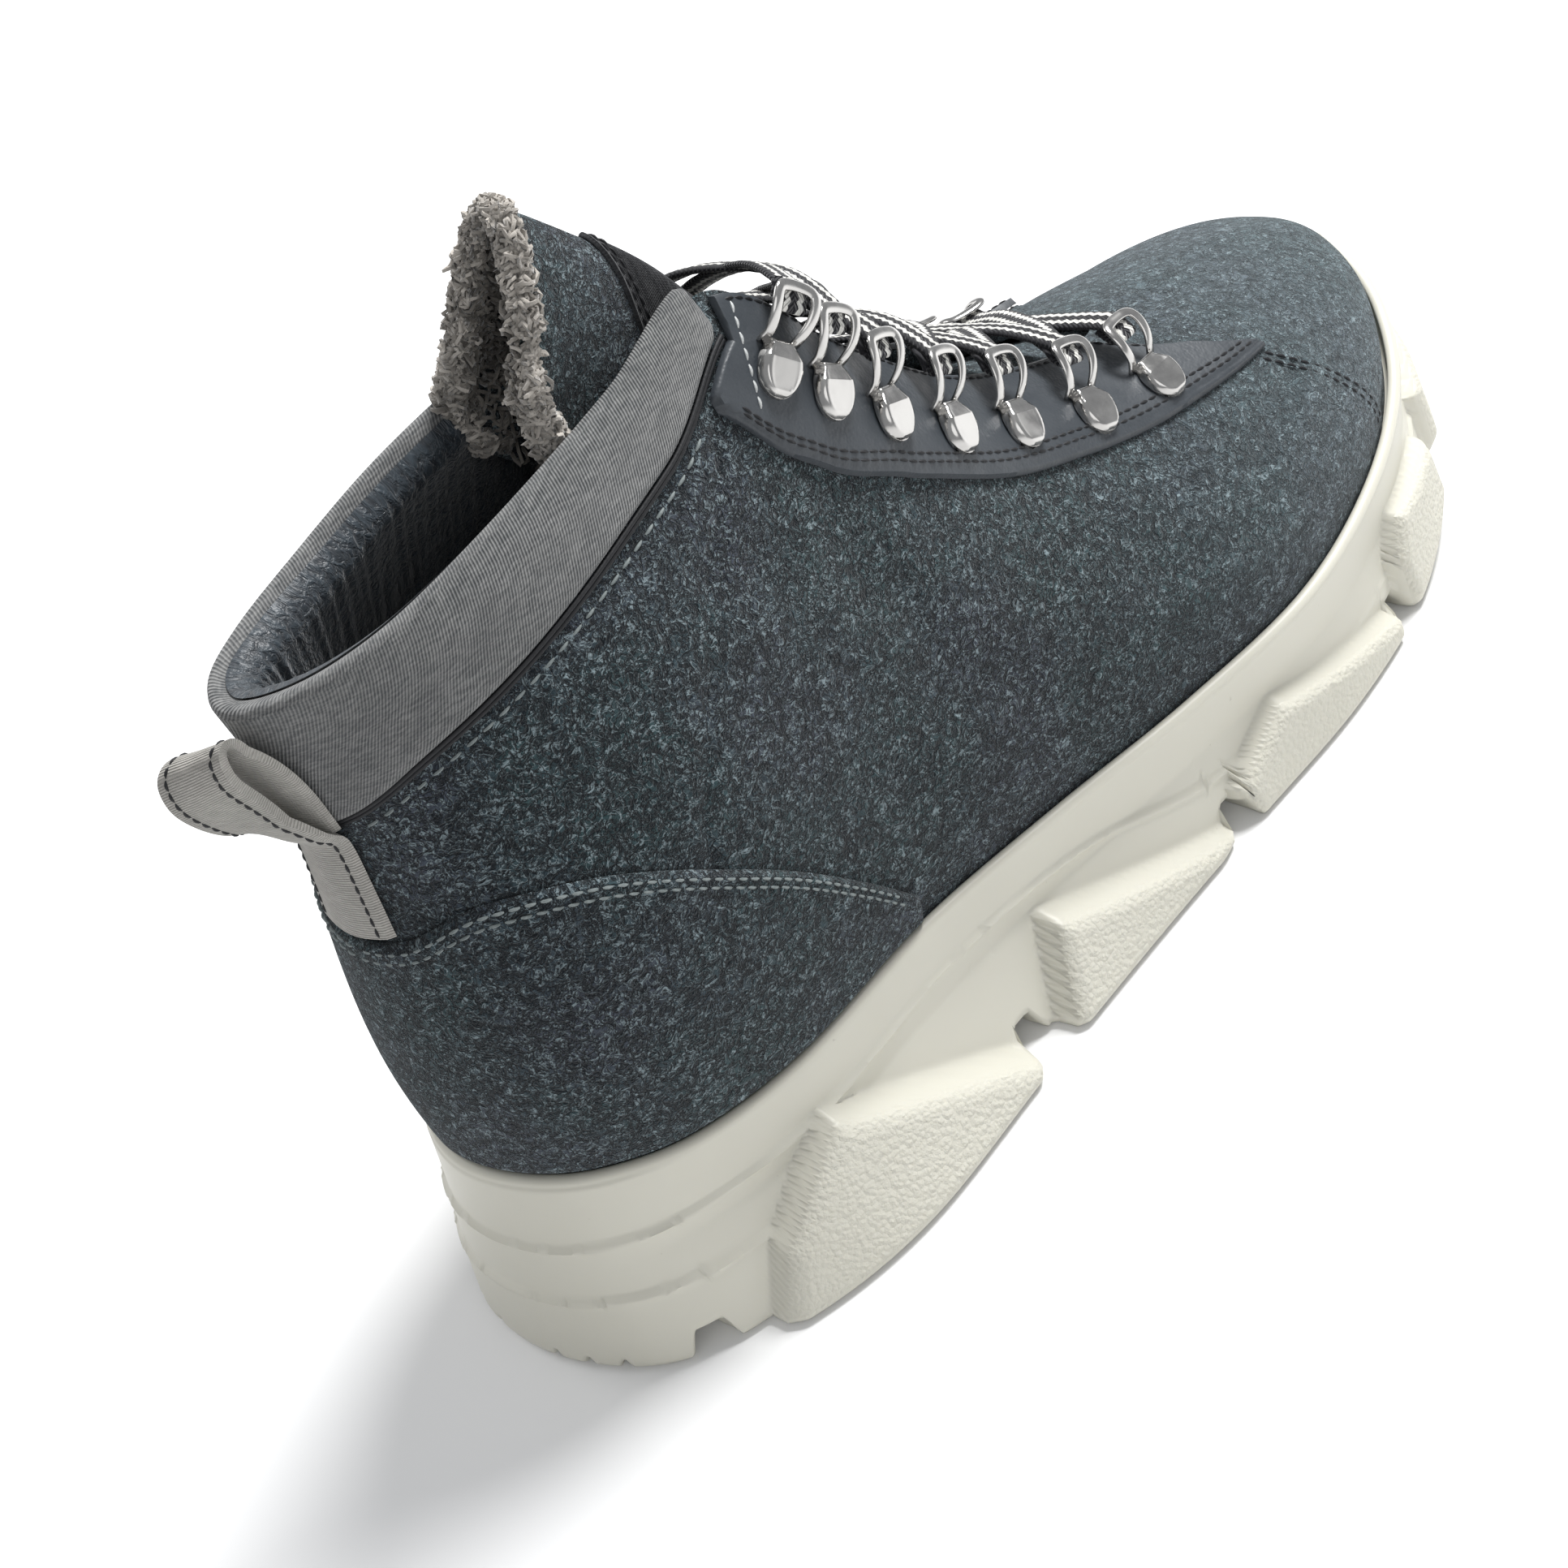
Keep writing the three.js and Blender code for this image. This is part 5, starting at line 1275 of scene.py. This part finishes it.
def clear_of_tongue(path, clear):
    t, a = np.meshgrid(np.linspace(1.5, 8.5, 90), np.linspace(-1, 1, 61), indexing="ij")
    face = off_tongue(t, a, 0.8).reshape(-1, 3)
    rise = tongue_normal(t, a).reshape(-1, 3)
    near = np.linalg.norm(path[:, None] - face, axis=-1).argmin(1)
    above = ((path - face[near]) * rise[near]).sum(-1)
    over_face = (abs(a.ravel()[near]) < 0.98) & (above > -14)
    push = np.where(over_face, np.maximum(0, clear - above), 0)[:, None] * rise[near]
    for _ in range(4):
        push[1:-1] = (push[:-2] + 2 * push[1:-1] + push[2:]) / 4
    return path + push


def lace_strap(start):
    points, wides = lace_run(start)
    centre, wide = clear_of_tongue(smooth_line(points, 7), 1.3 if start < 0 else 2.5), smooth_line(wides, 7)
    along = unit(np.gradient(centre, axis=0))
    wide = unit(wide - along * (wide * along).sum(-1, keepdims=True))
    thick = np.cross(along, wide)
    turn = 2 * np.pi * np.arange(16) / 16
    across = np.sign(np.cos(turn)) * abs(np.cos(turn)) ** 0.55 * LACE_WIDTH / 2
    up = np.sign(np.sin(turn)) * abs(np.sin(turn)) ** 0.75 * LACE_THICK / 2
    run = lengths(centre)
    body = 1 + 0.06 * np.sin(run * 2 * np.pi / 0.9)[:, None]
    sections = (centre[:, None] + wide[:, None] * across[:, None]
                + thick[:, None] * (up * body)[..., None])
    place = np.stack(np.broadcast_arrays(run[:, None], across[None], 0 * run[:, None]), -1)
    return skin(sections), place.reshape(-1, 3)


def make_lace():
    (first, first_place), (second, second_place) = lace_strap(-1), lace_strap(1)
    points, faces = joined([first, second])
    add_piece("woven_lace", points, faces, LACE, ["lace"], np.concatenate([first_place, second_place]))


make_lace()


# Stitches
def stitched(path, normal, pitch, long, lift=0.2, sink=0.12):
    run = lengths(path)
    count = int(run[-1] // pitch)
    share = np.linspace(0, 1, 5)
    start = (run[-1] - count * pitch) / 2 + pitch * np.arange(count) + (pitch - long) / 2
    at = start[:, None] + long * share
    points = np.stack([np.interp(at, run, path[:, i]) for i in range(3)], -1)
    rise = np.stack([np.interp(at, run, normal[:, i]) for i in range(3)], -1)
    return points + rise * (lift * np.sin(np.pi * share) - sink)[None, :, None], rise


def on_upper(s, v, out):
    _, normal, _, _ = upper_frame(s, v)
    return off_upper(s, v, out), normal


def add_stitches(name, look, rows, radius):
    parts = []
    for path, normal, pitch, long in rows:
        paths, rise = stitched(path, normal, pitch, long)
        parts.append(bars(paths, radius * np.array([0.6, 1, 1.1, 1, 0.6]), 6, up=rise))
    points, faces = joined(parts)
    add_piece(name, points, faces, look)


def make_stitches():
    dark, grey, light = [], [], []
    for sign in (-1, 1):
        s = np.linspace(5.62, 11.93, 320)
        on_leather = CURVED_GAP + EYESTAY_THICK
        for above in (2.6, 4.1):
            v = up_by(s, edge_smooth(EYESTAY_LOW, s), above)
            dark.append((*on_upper(sign * s, v, on_leather), 2.3, 2.0))
        s = np.linspace(5.97, 11.2, 260)
        v = up_by(s, edge_at(EYESTAY_HIGH, s), -1.5)
        dark.append((*on_upper(sign * s, v, on_leather), 2.3, 2.0))
        v = np.linspace(0.03, 0.585, 130)
        for back in (1.5, 3.1):
            s = round_by(0 * v + VAMP_SEAM, v, -back)
            dark.append((*on_upper(sign * s, v, 0.05), 2.6, 1.8))
        s = np.linspace(0.0, 5.3, 300)
        for below in (1.5, 3.3):
            v = up_by(s, edge_smooth(COUNTER_EDGE, s), -below)
            keep = v > 0.03
            grey.append((*on_upper(sign * s[keep], v[keep], CURVED_GAP + COUNTER_THICK), 2.5, 1.7))
        s = np.linspace(1.15, 5.35, 240)
        v = up_by(s, edge_smooth(BAND_EDGE, s), -3.1)
        grey.append((*on_upper(sign * s, v, 0.0), 3.3, 2.1))
        v = np.linspace(0.79, 0.972, 40)
        light.append((*on_upper(sign * np.interp(v, [0.79, 0.972], [5.76, 6.06]), v, on_leather), 2.6, 1.9))
        a = np.linspace(0, sign * (STRIP_HALF - 0.05), 60)
        for below in (0.09, 0.22):
            t = strip_top(a) - below
            dark.append((off_tongue(t, a, 0.15 + STRIP_RISE), tongue_normal(t, a), 2.2, 1.9))
    for column in (2, -3):
        path, normal = LOOP_FRONT[:, column], unit(LOOP_FRONT[:, column] - LOOP_BACK[:, column])
        dark.append((path[:-12], normal[:-12], 2.1, 1.8))
    add_stitches("dark_stitches", DARK_THREAD, dark, 0.25)
    add_stitches("grey_stitches", GREY_THREAD, grey, 0.26)
    add_stitches("light_stitches", LIGHT_THREAD, light, 0.26)


make_stitches()


# Pile: loops of yarn standing on a face
def loops_of_yarn(at, normal, height, width, thick, sides):
    count = len(at)
    spin = rng.uniform(0, 2 * np.pi, count)
    flat = unit(np.cross(normal, rng.normal(size=(count, 3))))
    sideways = np.cross(normal, flat)
    share = np.linspace(0, 1, 6)
    height, width = height * rng.uniform(0.6, 1.3, count), width * rng.uniform(0.7, 1.3, count)
    lean = rng.normal(0, 0.5, (count, 2))
    arch = np.sin(np.pi * share)
    path = (
        at[:, None]
        + flat[:, None] * ((share - 0.5)[None] * width[:, None] + lean[:, :1] * arch * height[:, None])[..., None]
        + normal[:, None] * (arch[None] * height[:, None] - 0.3)[..., None]
        + sideways[:, None] * (np.sin(2 * np.pi * share + spin[:, None]) * 0.35 * width[:, None]
                               + lean[:, 1:] * arch * height[:, None] * 0.7)[..., None]
    )
    points, faces = bars(path, thick, sides)
    # each loop gets a random tone plus painted light: up to 0.25 lighter towards its top, so its roots are painted in
    # shade
    tip_light_and_tone = np.repeat(rng.uniform(0.15, 0.75, count)[:, None] + 0.25 * arch, sides, axis=1).ravel()
    return points, faces, tip_light_and_tone


def add_pile(name, look, at, normal, height, width, thick, sides=4):
    points, faces, tip_light_and_tone = loops_of_yarn(at, normal, height, width, thick, sides)
    place = np.stack([tip_light_and_tone, 0 * tip_light_and_tone, 0 * tip_light_and_tone], -1)
    add_piece(name, points, faces, look, place=place, sharp=80)


ROLL = 1.7  # how far the yarn of the roll stands off the tongue's rolled edge
FAR_ROLL = 1.1


def roll_round(t, a, inward, bulge, turn):
    """Places and normals on a bead along the tongue's edge: turn 0 is outside the shoe, 1 is inside."""
    up = tongue_normal(t, a)
    angle = (turn * 1.5 - 0.35) * np.pi
    outward = up * np.cos(angle)[:, None] - inward * np.sin(angle)[:, None]
    centre = off_tongue(t, a, -TONGUE_FELT / 2) + inward * bulge[:, None]
    return centre + outward * bulge[:, None], outward


def make_pile():
    t, a = rng.uniform(6.5, TONGUE_LAST - 0.1, 2600), rng.uniform(-0.97, 0.97, 2600)
    # the tongue's inner face and its lower part take the darker pile copies: painted shade
    add_pile("tongue_pile", HALF_SHADED_PILE, off_tongue(t, a, -TONGUE_FELT + 0.1), -tongue_normal(t, a), 2.0, 2.7, 0.36)
    t, a = rng.uniform(2.0, 6.9, 700), rng.uniform(-0.97, 0.97, 700)
    add_pile("low_pile", SHADED_PILE, off_tongue(t, a, -TONGUE_FELT + 0.1), -tongue_normal(t, a), 2.2, 3.2, 0.55, 3)
    count = 1900
    a = np.where(rng.uniform(size=count) < 0.62, -1.0, 1.0)
    t = rng.uniform(np.where(a < 0, 5.6, 7.2), TONGUE_LAST)
    inward = unit(tongue_point(t, a * 0.93) - tongue_point(t, a))
    side_at, side_out = roll_round(t, a, inward, np.where(a < 0, ROLL, FAR_ROLL), rng.uniform(0, 1, count))
    a = rng.uniform(-1, 1, 800)
    t = 0 * a + TONGUE_LAST
    inward = unit(tongue_point(t - 0.1, a) - tongue_point(t, a))
    top_at, top_out = roll_round(t, a, inward, 0 * a + FAR_ROLL, rng.uniform(0, 1, 800))
    add_pile("roll_pile", PILE, np.concatenate([side_at, top_at]), np.concatenate([side_out, top_out]), 1.6, 2.4, 0.36)
    # inside the upper, under the lining, in the darkest pile copy: painted shade
    s, v = rng.uniform(0.0, 8.5, 1200), rng.uniform(0.06, 0.66, 1200)
    s = s * np.where(rng.uniform(size=1200) < 0.3, -1, 1)
    at = off_upper(s, v, -WALL - 0.2)
    add_pile("wall_pile", SHADED_PILE, at, -upper_frame(s, v)[1], 2.6, 3.4, 0.6, 3)
    # on the insole, in the darkest pile copy: painted shade
    rows, columns = rng.integers(4, len(INSOLE_TOP) * 2 // 3, 900), rng.integers(1, 23, 900)
    at = INSOLE_TOP[rows, columns] + rng.normal(0, 0.8, (900, 3)) * [1, 1, 0]
    add_pile("insole_pile", SHADED_PILE, at, np.broadcast_to([0.0, 0.0, 1.0], at.shape), 2.2, 3.2, 0.55, 3)


make_pile()


# Floor and light
def make_floor():
    half = FLOOR_HALF * MM
    mesh = bpy.data.meshes.new("floor")
    mesh.from_pydata([(-half, -half, 0), (half, -half, 0), (half, half, 0), (-half, half, 0)], [], [(0, 1, 2, 3)])
    floor = bpy.data.objects.new("floor", mesh)
    bpy.context.scene.collection.objects.link(floor)
    look = Look("floor", Roughness=0.7, Specular_IOR_Level=0.2)
    look.shader.inputs["Base Color"].default_value = (0.86, 0.86, 0.86, 1)
    mesh.materials.append(look.material)


def add_light(name, place, aim, size, power, colour=(1, 1, 1)):
    data = bpy.data.lights.new(name, "AREA")
    data.shape, data.size, data.energy, data.color = "DISK", size, power, colour
    light = bpy.data.objects.new(name, data)
    bpy.context.scene.collection.objects.link(light)
    light.location = place
    light.rotation_euler = (Vector(aim) - Vector(place)).to_track_quat("-Z", "Y").to_euler()


make_floor()
MIDDLE = (0.08, 0.0, 0.05)
add_light("key", (0.85, 0.0, 1.35), MIDDLE, 0.6, 35)
add_light("fill", (-0.5, -1.1, 0.8), MIDDLE, 1.0, 3)
add_light("back", (-0.2, 1.1, 0.9), MIDDLE, 0.8, 5)
world = bpy.data.worlds.new("studio")
world.use_nodes = True
world.node_tree.nodes["Background"].inputs["Color"].default_value = (0.95, 0.97, 1.0, 1)
world.node_tree.nodes["Background"].inputs["Strength"].default_value = 0.42
bpy.context.scene.world = world

bpy.context.scene.view_settings.view_transform = "Standard"
